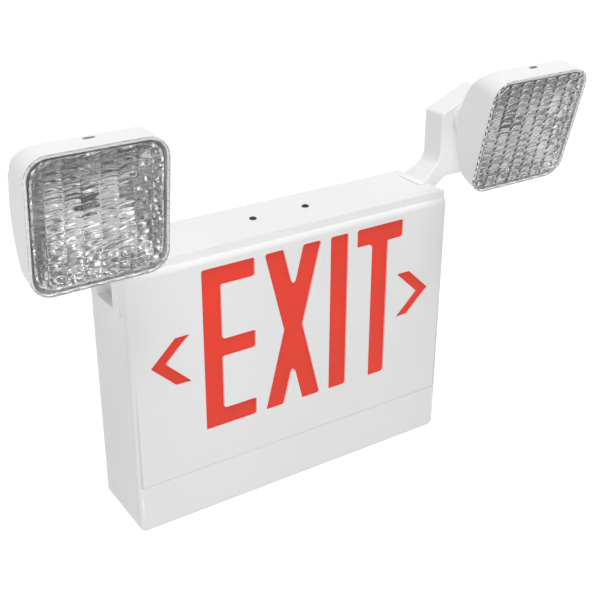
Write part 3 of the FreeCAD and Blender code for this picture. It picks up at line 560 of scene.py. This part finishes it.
def flute_tool(heads, half, front, back):
    """What the mould leaves out of the lens's back: bowed flutes in crowned columns."""
    column_steps, flute_steps, spare_rows = 12, 8, 2
    width = 2 * half / heads.columns
    rows = math.ceil(2 * half / heads.flute_pitch) + spare_rows
    tall = rows * heads.flute_pitch / 2
    bm = bmesh.new()
    place = Matrix.Diagonal((half, 1, tall, 1)) @ Matrix.Rotation(QUARTER_TURN, 4, "X")
    bmesh.ops.create_grid(bm, x_segments=heads.columns * column_steps,
                          y_segments=rows * flute_steps, size=1.0, matrix=place)
    deepest = front + heads.lens_skin
    clear = back / 2
    corner = half / 3
    for vert in bm.verts:
        column = crown(vert.co.x + half, width)
        flute = crown(vert.co.z + tall, heads.flute_pitch)
        depth = deepest + heads.column_depth * column + heads.flute_depth * flute
        inward = inside_border(vert.co.x, vert.co.z, half, corner)
        share = min(max((inward - heads.lens_rim) / heads.lens_fade, 0.0), 1.0)
        vert.co.y = clear + (depth - clear) * share
        vert.co.z += heads.flute_bow * column
    grown = bmesh.ops.extrude_face_region(bm, geom=bm.faces[:])["geom"]
    for vert in only(bmesh.types.BMVert, grown):
        vert.co.y = back
    bmesh.ops.recalc_face_normals(bm, faces=bm.faces)
    return bm


class EXITLIGHT_OT_lenses(bpy.types.Operator):
    """Makes the clear prismatic lens of each lamp head"""

    bl_idname = "exitlight.lenses"
    bl_label = "Prismatic Lenses"

    def execute(self, context):
        heads = context.scene.exit_heads
        for side in SIDES:
            node = "lens_" + side
            low, high = head_box(node, side)
            tool = flute_tool(heads, high.x, low.y, heads.lens_skin)
            tool.transform(head_matrix(side))
            lens = cut(from_node(node), tool)
            finish_piece("prismatic_lens_" + side, lens, "head_" + side,
                         lens_plastic(), (node,), sharp=24)
        return {"FINISHED"}


# ------------------------------------------------------------------ reflectors

def reshape_ring(verts, before, after):
    """Moves a ring of (half width, half height, squareness, depth) to another one's shape."""
    wide, tall, square, depth = after
    for vert in verts:
        angle = math.atan2(vert.co.z / before[1], vert.co.x / before[0])
        across, up = math.cos(angle), math.sin(angle)
        reach = (abs(across) ** square + abs(up) ** square) ** (-1 / square)
        vert.co = (wide * across * reach, depth, tall * up * reach)


def bowl_rings(heads, low, high, hole):
    """Border, parabolic roof and floor between slanted sides, and the socket's hole."""
    steps, neck_square, round_square = 10, 4.0, 2.0
    wide, tall = high.x - heads.bowl_rim, high.z - heads.bowl_rim
    depth = high.y - low.y - heads.bowl_wall
    rings = [(high.x, high.z, heads.bowl_square, low.y)]
    for i in range(steps + 1):
        share = i / steps
        rings.append((
            wide - (wide - heads.bowl_side) * share,
            math.sqrt(tall ** 2 - (tall ** 2 - heads.bowl_neck ** 2) * share),
            heads.bowl_square + (neck_square - heads.bowl_square) * share,
            low.y + depth * share))
    rings.append((hole, hole, round_square, low.y + depth))
    return rings


def reflector_bowl(heads, low, high, hole):
    """Squarish bowl of thin plastic round the lamp."""
    ring_points = 160
    bm = bmesh.new()
    bmesh.ops.create_circle(bm, cap_ends=False, radius=1.0, segments=ring_points,
                            matrix=Matrix.Rotation(QUARTER_TURN, 4, "X"))
    rings = bowl_rings(heads, low, high, hole)
    reshape_ring(bm.verts, (1.0, 1.0), rings[0])
    edges = bm.edges[:]
    for before, after in zip(rings, rings[1:]):
        grown = bmesh.ops.extrude_edge_only(bm, edges=edges)["geom"]
        reshape_ring(only(bmesh.types.BMVert, grown), before, after)
        edges = only(bmesh.types.BMEdge, grown)
    bmesh.ops.recalc_face_normals(bm, faces=bm.faces)
    border = max(bm.faces, key=lambda face: face.calc_center_median().length)
    if border.normal.y > 0:
        bmesh.ops.reverse_faces(bm, faces=bm.faces)
    bmesh.ops.solidify(bm, geom=bm.faces[:], thickness=heads.bowl_wall)
    return bm


class EXITLIGHT_OT_reflectors(bpy.types.Operator):
    """Makes the bright bowl of each lamp head"""

    bl_idname = "exitlight.reflectors"
    bl_label = "Reflectors"

    def execute(self, context):
        heads = context.scene.exit_heads
        for side in SIDES:
            node = "reflector_" + side
            hole = min(math.hypot(p.x, p.z) for p in head_points(node, side))
            bowl = reflector_bowl(heads, *head_box(node, side), hole)
            bowl.transform(head_matrix(side))
            finish_piece("mirror_bowl_" + side, bowl, "head_" + side,
                         bright_reflector(), (node,), sharp=40)
        return {"FINISHED"}


# ------------------------------------------------------------------ lamps

def bulb_glass(radius, tip, foot, wall):
    """Thin hollow glass capsule with a round tip, open at its foot."""
    def capsule(r, end):
        turns = [math.radians(a) for a in range(0, 91, 10)]
        return [(r, foot)] + [(r * math.cos(a), end + r - r * math.sin(a)) for a in turns]

    outer = spun(capsule(radius, tip))
    inner = spun(capsule(radius - wall, tip + wall))
    bmesh.ops.reverse_faces(inner, faces=inner.faces)
    glass = merged(outer, inner)
    bmesh.ops.bridge_loops(glass, edges=[edge for edge in glass.edges if edge.is_boundary])
    return glass


def filament(heads, middle, foot):
    """Coiled wire across the lamp on two posts."""
    wire_sides, post_sides, turn_steps = 8, 10, 16
    turn_pitch = heads.wire_radius * 3.4
    post_radius = heads.wire_radius * 2
    span = turn_pitch * heads.coil_turns
    steps = turn_steps * heads.coil_turns
    bm = bmesh.new()
    start = Matrix.Translation((-span / 2, middle, heads.coil_radius))
    bmesh.ops.create_circle(bm, cap_ends=True, radius=heads.wire_radius, segments=wire_sides,
                            matrix=start @ Matrix.Rotation(QUARTER_TURN, 4, "X"))
    bmesh.ops.spin(bm, geom=bm.faces[:] + bm.edges[:] + bm.verts[:], cent=(0, middle, 0), axis=(1, 0, 0),
                   dvec=(span / steps, 0, 0), angle=2 * math.pi * heads.coil_turns, steps=steps,
                   use_merge=False)
    bmesh.ops.recalc_face_normals(bm, faces=bm.faces)
    posts = [rod_mesh(post_radius, (x, foot, 0), (x, middle, 0), post_sides)
             for x in (-span / 2, span / 2)]
    return merged(bm, *posts)


class EXITLIGHT_OT_lamps(bpy.types.Operator):
    """Makes each lamp's glass and its filament"""

    bl_idname = "exitlight.lamps"
    bl_label = "Lamps"

    def execute(self, context):
        heads = context.scene.exit_heads
        for side in SIDES:
            node = "lamp_" + side
            low, high = head_box(node, side)
            radius = high.x
            glass = bulb_glass(radius, low.y, high.y, heads.glass_wall)
            glass.transform(head_matrix(side))
            finish_piece("lamp_glass_" + side, glass, "head_" + side,
                         bulb_glass_finish(), (node,), sharp=50)
            under_tip = low.y + radius * 1.1
            wire = filament(heads, under_tip, high.y)
            wire.transform(head_matrix(side))
            finish_piece("filament_" + side, wire, "head_" + side, tungsten(), sharp=50)
        return {"FINISHED"}


# ------------------------------------------------------------------ hinge pins

class EXITLIGHT_OT_hinge_pins(bpy.types.Operator):
    """Gives the tilt hinges' screw pins round heads with a driver slot"""

    bl_idname = "exitlight.hinge_pins"
    bl_label = "Hinge Pins"

    def execute(self, context):
        heads = context.scene.exit_heads
        rounding = heads.slot_depth * 0.7
        for side in SIDES:
            node = "tilt_pin_" + side
            low, high = head_box(node, side)
            middle = (low + high) / 2
            pin = from_node(node)
            pin.transform(head_matrix(side).inverted())
            flatten(pin)
            soften(pin, sharp_edges(pin, above=50), rounding, segments=3)
            half_slot = Vector((heads.slot_depth, heads.slot_width / 2, (high.y - low.y) / 2))
            for x in (low.x, high.x):
                end = Vector((x, middle.y, middle.z))
                pin = cut(pin, box_mesh(end - half_slot, end + half_slot))
            pin.transform(head_matrix(side))
            finish_piece("hinge_pin_" + side, pin, "head_" + side, zinc_steel(), (node,))
        return {"FINISHED"}


# ------------------------------------------------------------------ grommets

class EXITLIGHT_OT_grommets(bpy.types.Operator):
    """Puts a black rubber ring in each canopy screw hole, as painted shade that darkens the hole"""

    bl_idname = "exitlight.grommets"
    bl_label = "Hole Grommets"

    def execute(self, context):
        ring = context.scene.exit_grommets
        mount = next(m for m in frame["record"]["mounts"] if m["name"] == "canopy_screws")
        hole = mount["dims"]["hole_r_mm"] * MILLIMETRE
        neck, lip = hole - ring.play, hole + ring.lip
        profile = [(ring.bore, -ring.reach), (neck, -ring.reach), (neck, ring.play), (lip, ring.play),
                   (lip, ring.rise / 2), (hole, ring.rise), (ring.bore, ring.rise),
                   (ring.bore, -ring.reach)]
        middle = Vector(mount["pos_m"])
        middle.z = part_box("housing_frame")[1].z
        half = mount["dims"]["spacing_x_mm"] * MILLIMETRE / 2
        for side, x in zip(SIDES, (half, -half)):
            grommet = spun(profile)
            place = Matrix.Translation(middle + Vector((x, 0, 0)))
            grommet.transform(place @ Matrix.Rotation(QUARTER_TURN, 4, "X"))
            finish_piece("hole_grommet_" + side, grommet, "housing", grommet_painted_shade())
        return {"FINISHED"}


# ------------------------------------------------------------------ material helpers

def new_node(tree, kind, **values):
    """New shader node with fixed values on its inputs, where _ stands for a space in a name."""
    node = tree.nodes.new(kind)
    for name, value in values.items():
        node.inputs[name.replace("_", " ")].default_value = value
    return node


class Surface:
    """A new material's shader, and the patterns in Object coordinates that feed it."""

    def __init__(self, name):
        self.material = bpy.data.materials.new(name)
        self.material.use_nodes = True
        self.tree = self.material.node_tree
        self.tree.nodes.clear()
        out = self.tree.nodes.new("ShaderNodeOutputMaterial")
        self.shader = self.tree.nodes.new("ShaderNodeBsdfPrincipled")
        self.tree.links.new(self.shader.outputs["BSDF"], out.inputs["Surface"])
        self.place = self.tree.nodes.new("ShaderNodeTexCoord").outputs["Object"]

    def fix(self, socket, value):
        """One value all over the surface."""
        self.shader.inputs[socket].default_value = value

    def feed(self, socket, pattern):
        """A value that follows a pattern."""
        self.tree.links.new(pattern, self.shader.inputs[socket])

    def pattern(self, kind, output, vector=None, **values):
        """Output of a new pattern node."""
        node = new_node(self.tree, kind, **values)
        self.tree.links.new(vector or self.place, node.inputs["Vector"])
        return node.outputs[output]

    def noise(self, scale, detail=3.0, roughness=0.5):
        """Soft random pattern."""
        return self.pattern("ShaderNodeTexNoise", "Fac", Scale=scale, Detail=detail, Roughness=roughness)

    def ramp(self, pattern, *stops):
        """Base colour that goes through (place, colour) stops as a pattern rises."""
        node = self.tree.nodes.new("ShaderNodeValToRGB")
        for element, (place, colour) in zip(node.color_ramp.elements, stops):
            element.position = place
            element.color = (*colour, 1.0)
        self.tree.links.new(pattern, node.inputs["Fac"])
        self.feed("Base Color", node.outputs["Color"])

    def tone(self, scale, dark, light, detail=3.0):
        """Base colour in soft patches of two tones."""
        self.ramp(self.noise(scale, detail), (0.3, dark), (0.7, light))

    def sheen(self, scale, low, high, detail=3.0):
        """Roughness that wanders between two values."""
        node = new_node(self.tree, "ShaderNodeMapRange", To_Min=low, To_Max=high)
        self.tree.links.new(self.noise(scale, detail), node.inputs["Value"])
        self.feed("Roughness", node.outputs["Result"])

    def bump(self, height, strength, distance):
        """Relief that follows a pattern."""
        node = new_node(self.tree, "ShaderNodeBump", Strength=strength, Distance=distance)
        self.tree.links.new(height, node.inputs["Height"])
        self.feed("Normal", node.outputs["Normal"])

    def moulded(self, colour, variation, patches, roughness, grains, grain):
        """Moulded plastic: faint patches of tone, uneven sheen and a fine grain."""
        self.tone(patches, shade(colour, 1 - variation), shade(colour, 1 + variation), detail=4.0)
        self.sheen(patches * 4, *roughness, detail=2.0)
        self.bump(self.noise(grains, detail=4.0, roughness=0.6), strength=grain, distance=0.0001)

    def metal(self, colour, roughness, grains, grain):
        """Plated or drawn metal with a fine grain."""
        self.tone(200.0, shade(colour, 0.93), shade(colour, 1.05))
        self.fix("Metallic", 1.0)
        self.sheen(500.0, *roughness)
        self.bump(self.noise(grains), strength=grain, distance=0.00005)

    def clear(self, dark, light, tone_scale, refraction, sheen_scale, roughness):
        """Clear glass or plastic with a faint tint."""
        self.tone(tone_scale, dark, light)
        self.fix("Transmission Weight", 1.0)
        self.fix("IOR", refraction)
        self.sheen(sheen_scale, *roughness)


def shade(colour, factor):
    """A colour made darker or lighter."""
    return tuple(min(1.0, c * factor) for c in colour)


def finish(name):
    """Makes a function that works on a Surface give the material of that name, made once."""
    def wrapped(dress):
        def material():
            found = bpy.data.materials.get(name)
            if found:
                return found
            surface = Surface(name)
            dress(surface)
            return surface.material
        return material
    return wrapped


# ------------------------------------------------------------------ finishes

@finish("white_moulded_plastic")
def white_plastic(surface):
    surface.moulded(bpy.context.scene.exit_finish.white, variation=0.012, patches=18.0,
                    roughness=(0.34, 0.46), grains=1400.0, grain=0.10)


@finish("head_moulded_plastic")
def head_plastic(surface):
    """A shade lighter than the housing: painted light that stands in for more light falling on the heads."""
    surface.moulded(shade(bpy.context.scene.exit_finish.white, 1.04), variation=0.012, patches=26.0,
                    roughness=(0.30, 0.42), grains=1700.0, grain=0.08)


@finish("face_moulded_plastic")
def face_plastic(surface):
    surface.moulded(bpy.context.scene.exit_finish.face, variation=0.010, patches=12.0,
                    roughness=(0.36, 0.48), grains=1200.0, grain=0.12)


@finish("red_diffuser_sheet")
def red_panel(surface):
    surface.moulded(bpy.context.scene.exit_finish.red, variation=0.05, patches=22.0,
                    roughness=(0.40, 0.52), grains=600.0, grain=0.08)


@finish("black_socket_plastic")
def socket_plastic(surface):
    surface.moulded((0.045, 0.045, 0.047), variation=0.15, patches=60.0,
                    roughness=(0.40, 0.55), grains=1500.0, grain=0.15)


@finish("black_component_case")
def component_black(surface):
    surface.moulded((0.030, 0.030, 0.032), variation=0.20, patches=90.0,
                    roughness=(0.30, 0.45), grains=2500.0, grain=0.10)


# Near-black ring in the canopy holes: a rubber ring whose darkness is painted shade inside the holes.
@finish("black_grommet_rubber")
def grommet_painted_shade(surface):
    surface.moulded((0.016, 0.016, 0.017), variation=0.15, patches=120.0,
                    roughness=(0.62, 0.78), grains=1600.0, grain=0.20)


@finish("led_phosphor_package")
def led_package(surface):
    surface.moulded((0.86, 0.80, 0.42), variation=0.06, patches=300.0,
                    roughness=(0.35, 0.45), grains=3000.0, grain=0.05)


@finish("green_terminal_plastic")
def terminal_green(surface):
    surface.moulded((0.05, 0.30, 0.10), variation=0.08, patches=120.0,
                    roughness=(0.35, 0.50), grains=1800.0, grain=0.10)


@finish("red_button_plastic")
def button_plastic(surface):
    surface.moulded((0.62, 0.03, 0.02), variation=0.05, patches=150.0,
                    roughness=(0.28, 0.40), grains=2000.0, grain=0.08)


@finish("red_pilot_plastic")
def pilot_plastic(surface):
    """Glossy red lens of the pilot lamp, half clear."""
    surface.moulded((0.75, 0.04, 0.03), variation=0.06, patches=150.0,
                    roughness=(0.08, 0.16), grains=2000.0, grain=0.03)
    surface.fix("Transmission Weight", 0.5)


@finish("cell_shrink_sleeve")
def cell_sleeve(surface):
    """Green shrink sleeve on the cells."""
    surface.moulded((0.10, 0.32, 0.22), variation=0.06, patches=60.0,
                    roughness=(0.20, 0.34), grains=700.0, grain=0.10)
    surface.fix("Coat Weight", 0.4)


@finish("clear_lens_plastic")
def lens_plastic(surface):
    tint = bpy.context.scene.exit_finish.lens
    surface.clear(shade(tint, 0.98), tint, tone_scale=30.0, refraction=1.49,
                  sheen_scale=90.0, roughness=(0.01, 0.05))


@finish("clear_bulb_glass")
def bulb_glass_finish(surface):
    """Clear lamp glass with a cool tint."""
    surface.clear((0.90, 0.94, 0.98), (0.96, 0.98, 1.0), tone_scale=80.0, refraction=1.47,
                  sheen_scale=60.0, roughness=(0.0, 0.02))


@finish("drawn_tungsten")
def tungsten(surface):
    surface.metal((0.42, 0.41, 0.40), roughness=(0.35, 0.5), grains=3000.0, grain=0.2)


@finish("zinc_plated_steel")
def zinc_steel(surface):
    surface.metal((0.66, 0.67, 0.68), roughness=(0.22, 0.38), grains=1500.0, grain=0.12)


@finish("metallised_reflector")
def bright_reflector(surface):
    """Metal skin on plastic with a pebbled mould texture."""
    surface.tone(40.0, (0.42, 0.42, 0.418), (0.56, 0.56, 0.557))
    surface.fix("Metallic", 1.0)
    surface.sheen(120.0, 0.08, 0.18)
    pebbles = surface.pattern("ShaderNodeTexVoronoi", "Distance", Scale=250.0)
    pebbles.node.feature = "SMOOTH_F1"
    surface.bump(pebbles, strength=1.0, distance=0.0028)


@finish("laminated_core_steel")
def transformer_steel(surface):
    """Stacked steel sheets, seen on edge as fine lines."""
    lines = surface.pattern("ShaderNodeTexWave", "Fac", Scale=320.0, Distortion=0.4)
    lines.node.bands_direction = "Z"
    surface.ramp(lines, (0.2, (0.12, 0.12, 0.13)), (0.8, (0.34, 0.34, 0.35)))
    surface.fix("Metallic", 0.8)
    surface.sheen(300.0, 0.35, 0.55)
    surface.bump(lines, strength=0.3, distance=0.0002)


@finish("green_circuit_board")
def circuit_board(surface):
    """Green solder mask over straight copper tracks."""
    upright = surface.pattern("ShaderNodeMapping", "Vector", Rotation=(QUARTER_TURN, 0, 0))
    tracks = surface.pattern("ShaderNodeTexBrick", "Color", upright, Scale=90.0, Mortar_Size=0.03,
                             Color1=(0.015, 0.16, 0.06, 1.0), Color2=(0.018, 0.19, 0.07, 1.0),
                             Mortar=(0.06, 0.34, 0.14, 1.0))
    surface.feed("Base Color", tracks)
    surface.sheen(200.0, 0.30, 0.42)
    surface.bump(tracks.node.outputs["Fac"], strength=0.2, distance=0.0001)


SLOT_FINISHES = {
    "housing_plastic": white_plastic,
    "face_plastic": face_plastic,
    "head_plastic": head_plastic,
    "red_diffuser": red_panel,
    "clear_lens": lens_plastic,
    "bright_reflector": bright_reflector,
    "lamp_glass": bulb_glass_finish,
    "socket_plastic": socket_plastic,
    "pin_steel": zinc_steel,
    "circuit_board": circuit_board,
    "led_package": led_package,
    "cell_sleeve": cell_sleeve,
    "transformer_steel": transformer_steel,
    "component_black": component_black,
    "terminal_green": terminal_green,
    "button_plastic": button_plastic,
    "pilot_plastic": pilot_plastic,
}


class EXITLIGHT_OT_finishes(bpy.types.Operator):
    """Gives every carried-over CAD piece the finish of its material slot"""

    bl_idname = "exitlight.finishes"
    bl_label = "Finishes"

    def execute(self, context):
        for node in frame["nodes"].values():
            for place in node.material_slots:
                slot = place.material.name.split(".")[0]
                if slot not in SLOT_FINISHES:
                    raise RuntimeError(node.name + " has no finish for its slot " + slot)
                place.material = SLOT_FINISHES[slot]()
        return {"FINISHED"}


# ------------------------------------------------------------------ stage

def background_ray(tree):
    """1 for rays that show the background: seen directly, mirrored or through clear plastic."""
    path = tree.nodes.new("ShaderNodeLightPath")
    total = path.outputs["Is Camera Ray"]
    for name in ("Is Glossy Ray", "Is Transmission Ray"):
        join = tree.nodes.new("ShaderNodeMath")
        join.operation = "MAXIMUM"
        tree.links.new(total, join.inputs[0])
        tree.links.new(path.outputs[name], join.inputs[1])
        total = join.outputs["Value"]
    return total


@finish("pale_floor")
def floor_finish(surface):
    """Pale floor that keeps a soft shadow and shows white."""
    stage = bpy.context.scene.exit_stage
    surface.tone(2.0, shade(stage.floor_colour, 0.99), stage.floor_colour)
    surface.fix("Roughness", 1.0)
    surface.fix("Specular IOR Level", 0.0)
    surface.fix("Emission Color", WHITE)
    lift = surface.tree.nodes.new("ShaderNodeMath")
    lift.operation = "MULTIPLY"
    lift.inputs[1].default_value = stage.floor_glow
    surface.tree.links.new(background_ray(surface.tree), lift.inputs[0])
    surface.feed("Emission Strength", lift.outputs["Value"])


def room_light(stage):
    """Even room light that shows as white."""
    world = bpy.data.worlds.new("studio_room")
    world.use_nodes = True
    tree = world.node_tree
    tree.nodes.clear()
    out = tree.nodes.new("ShaderNodeOutputWorld")
    mix = tree.nodes.new("ShaderNodeMixShader")
    lit = new_node(tree, "ShaderNodeBackground", Color=WHITE, Strength=stage.room_level)
    seen = new_node(tree, "ShaderNodeBackground", Color=WHITE, Strength=1.0)
    tree.links.new(background_ray(tree), mix.inputs["Fac"])
    tree.links.new(lit.outputs["Background"], mix.inputs[1])
    tree.links.new(seen.outputs["Background"], mix.inputs[2])
    tree.links.new(mix.outputs["Shader"], out.inputs["Surface"])
    bpy.context.scene.world = world


def outwards(turn, rise):
    """Unit vector out of the wall, turned to the right and raised by two angles."""
    return Vector((math.sin(turn) * math.cos(rise), -math.cos(turn) * math.cos(rise), math.sin(rise)))


def turned_light(name, kind, power, place, way):
    """New light that shines against a direction."""
    lamp = bpy.data.lights.new(name, kind)
    lamp.energy = power
    light = placed(name, lamp)
    light.location = place
    light.rotation_mode = "QUATERNION"
    light.rotation_quaternion = way.to_track_quat("Z", "Y")
    return light


def key_light(stage):
    """Soft light from above and slightly in front."""
    source = outwards(-stage.key_turn, stage.key_height)
    key = turned_light("soft_key", "SUN", stage.key_level, source, source)
    key.data.angle = stage.key_spread


def fill_light(stage):
    """Weak panel light in front, turned to the middle of the object."""
    place = Vector(stage.fill_place)
    middle = (CAD_BOX[0] + CAD_BOX[1]) / 2
    fill = turned_light("front_fill", "AREA", stage.fill_power, place, place - middle)
    fill.data.shape = "SQUARE"
    fill.data.size = stage.fill_size
    fill.visible_camera = False


def studio_camera(stage):
    """Camera in front of the object, to the left and above."""
    data = bpy.data.cameras.new("view")
    data.sensor_width = SENSOR_WIDTH
    data.lens = stage.camera_lens
    camera = placed("view", data)
    back = outwards(stage.camera_azimuth, stage.camera_elevation)
    right = Vector((0, 0, 1)).cross(back).normalized()
    up = back.cross(right)
    level = Matrix((right, up, back)).transposed()
    rolled = level @ Matrix.Rotation(stage.camera_roll, 3, "Z")
    camera.matrix_world = Matrix.Translation(Vector(stage.camera_place)) @ rolled.to_4x4()
    bpy.context.scene.camera = camera


class EXITLIGHT_OT_stage(bpy.types.Operator):
    """Sets the pale floor, the soft light and the camera"""

    bl_idname = "exitlight.stage"
    bl_label = "Stage"

    def execute(self, context):
        stage = context.scene.exit_stage
        bm = bmesh.new()
        height = CAD_BOX[0].z - stage.floor_drop
        bmesh.ops.create_grid(bm, x_segments=1, y_segments=1, size=stage.floor_size,
                              matrix=Matrix.Translation((0, 0, height)))
        floor = placed("floor", as_mesh("floor", bm))
        floor.data.materials.append(floor_finish())
        room_light(stage)
        key_light(stage)
        fill_light(stage)
        studio_camera(stage)
        context.scene.view_settings.view_transform = "Standard"
        return {"FINISHED"}


# ------------------------------------------------------------------ panel

OPERATORS = (
    EXITLIGHT_OT_finishes,
    EXITLIGHT_OT_sign_face,
    EXITLIGHT_OT_lenses,
    EXITLIGHT_OT_reflectors,
    EXITLIGHT_OT_lamps,
    EXITLIGHT_OT_hinge_pins,
    EXITLIGHT_OT_grommets,
    EXITLIGHT_OT_stage,
)


class EXITLIGHT_PT_panel(bpy.types.Panel):
    """Lists the steps that dress the exit light"""

    bl_idname = "EXITLIGHT_PT_panel"
    bl_label = "Exit Light"
    bl_space_type = "VIEW_3D"
    bl_region_type = "UI"
    bl_category = "Exit Light"

    def draw(self, context):
        for operator in OPERATORS:
            self.layout.operator(operator.bl_idname)


SETTINGS = {
    "exit_sign": SignSettings,
    "exit_heads": HeadSettings,
    "exit_grommets": GrommetSettings,
    "exit_finish": FinishSettings,
    "exit_stage": StageSettings,
}


def register():
    for group in SETTINGS.values():
        bpy.utils.register_class(group)
    for name, group in SETTINGS.items():
        setattr(bpy.types.Scene, name, PointerProperty(type=group))
    for cls in (*OPERATORS, EXITLIGHT_PT_panel):
        bpy.utils.register_class(cls)


def unregister():
    for cls in reversed((*OPERATORS, EXITLIGHT_PT_panel)):
        bpy.utils.unregister_class(cls)
    for name, group in SETTINGS.items():
        delattr(bpy.types.Scene, name)
        bpy.utils.unregister_class(group)


def main():
    register()
    bpy.ops.exitlight.finishes()
    bpy.ops.exitlight.sign_face()
    bpy.ops.exitlight.lenses()
    bpy.ops.exitlight.reflectors()
    bpy.ops.exitlight.lamps()
    bpy.ops.exitlight.hinge_pins()
    bpy.ops.exitlight.grommets()
    bpy.ops.exitlight.stage()
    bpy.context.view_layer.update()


if __name__ == "__main__":
    main()
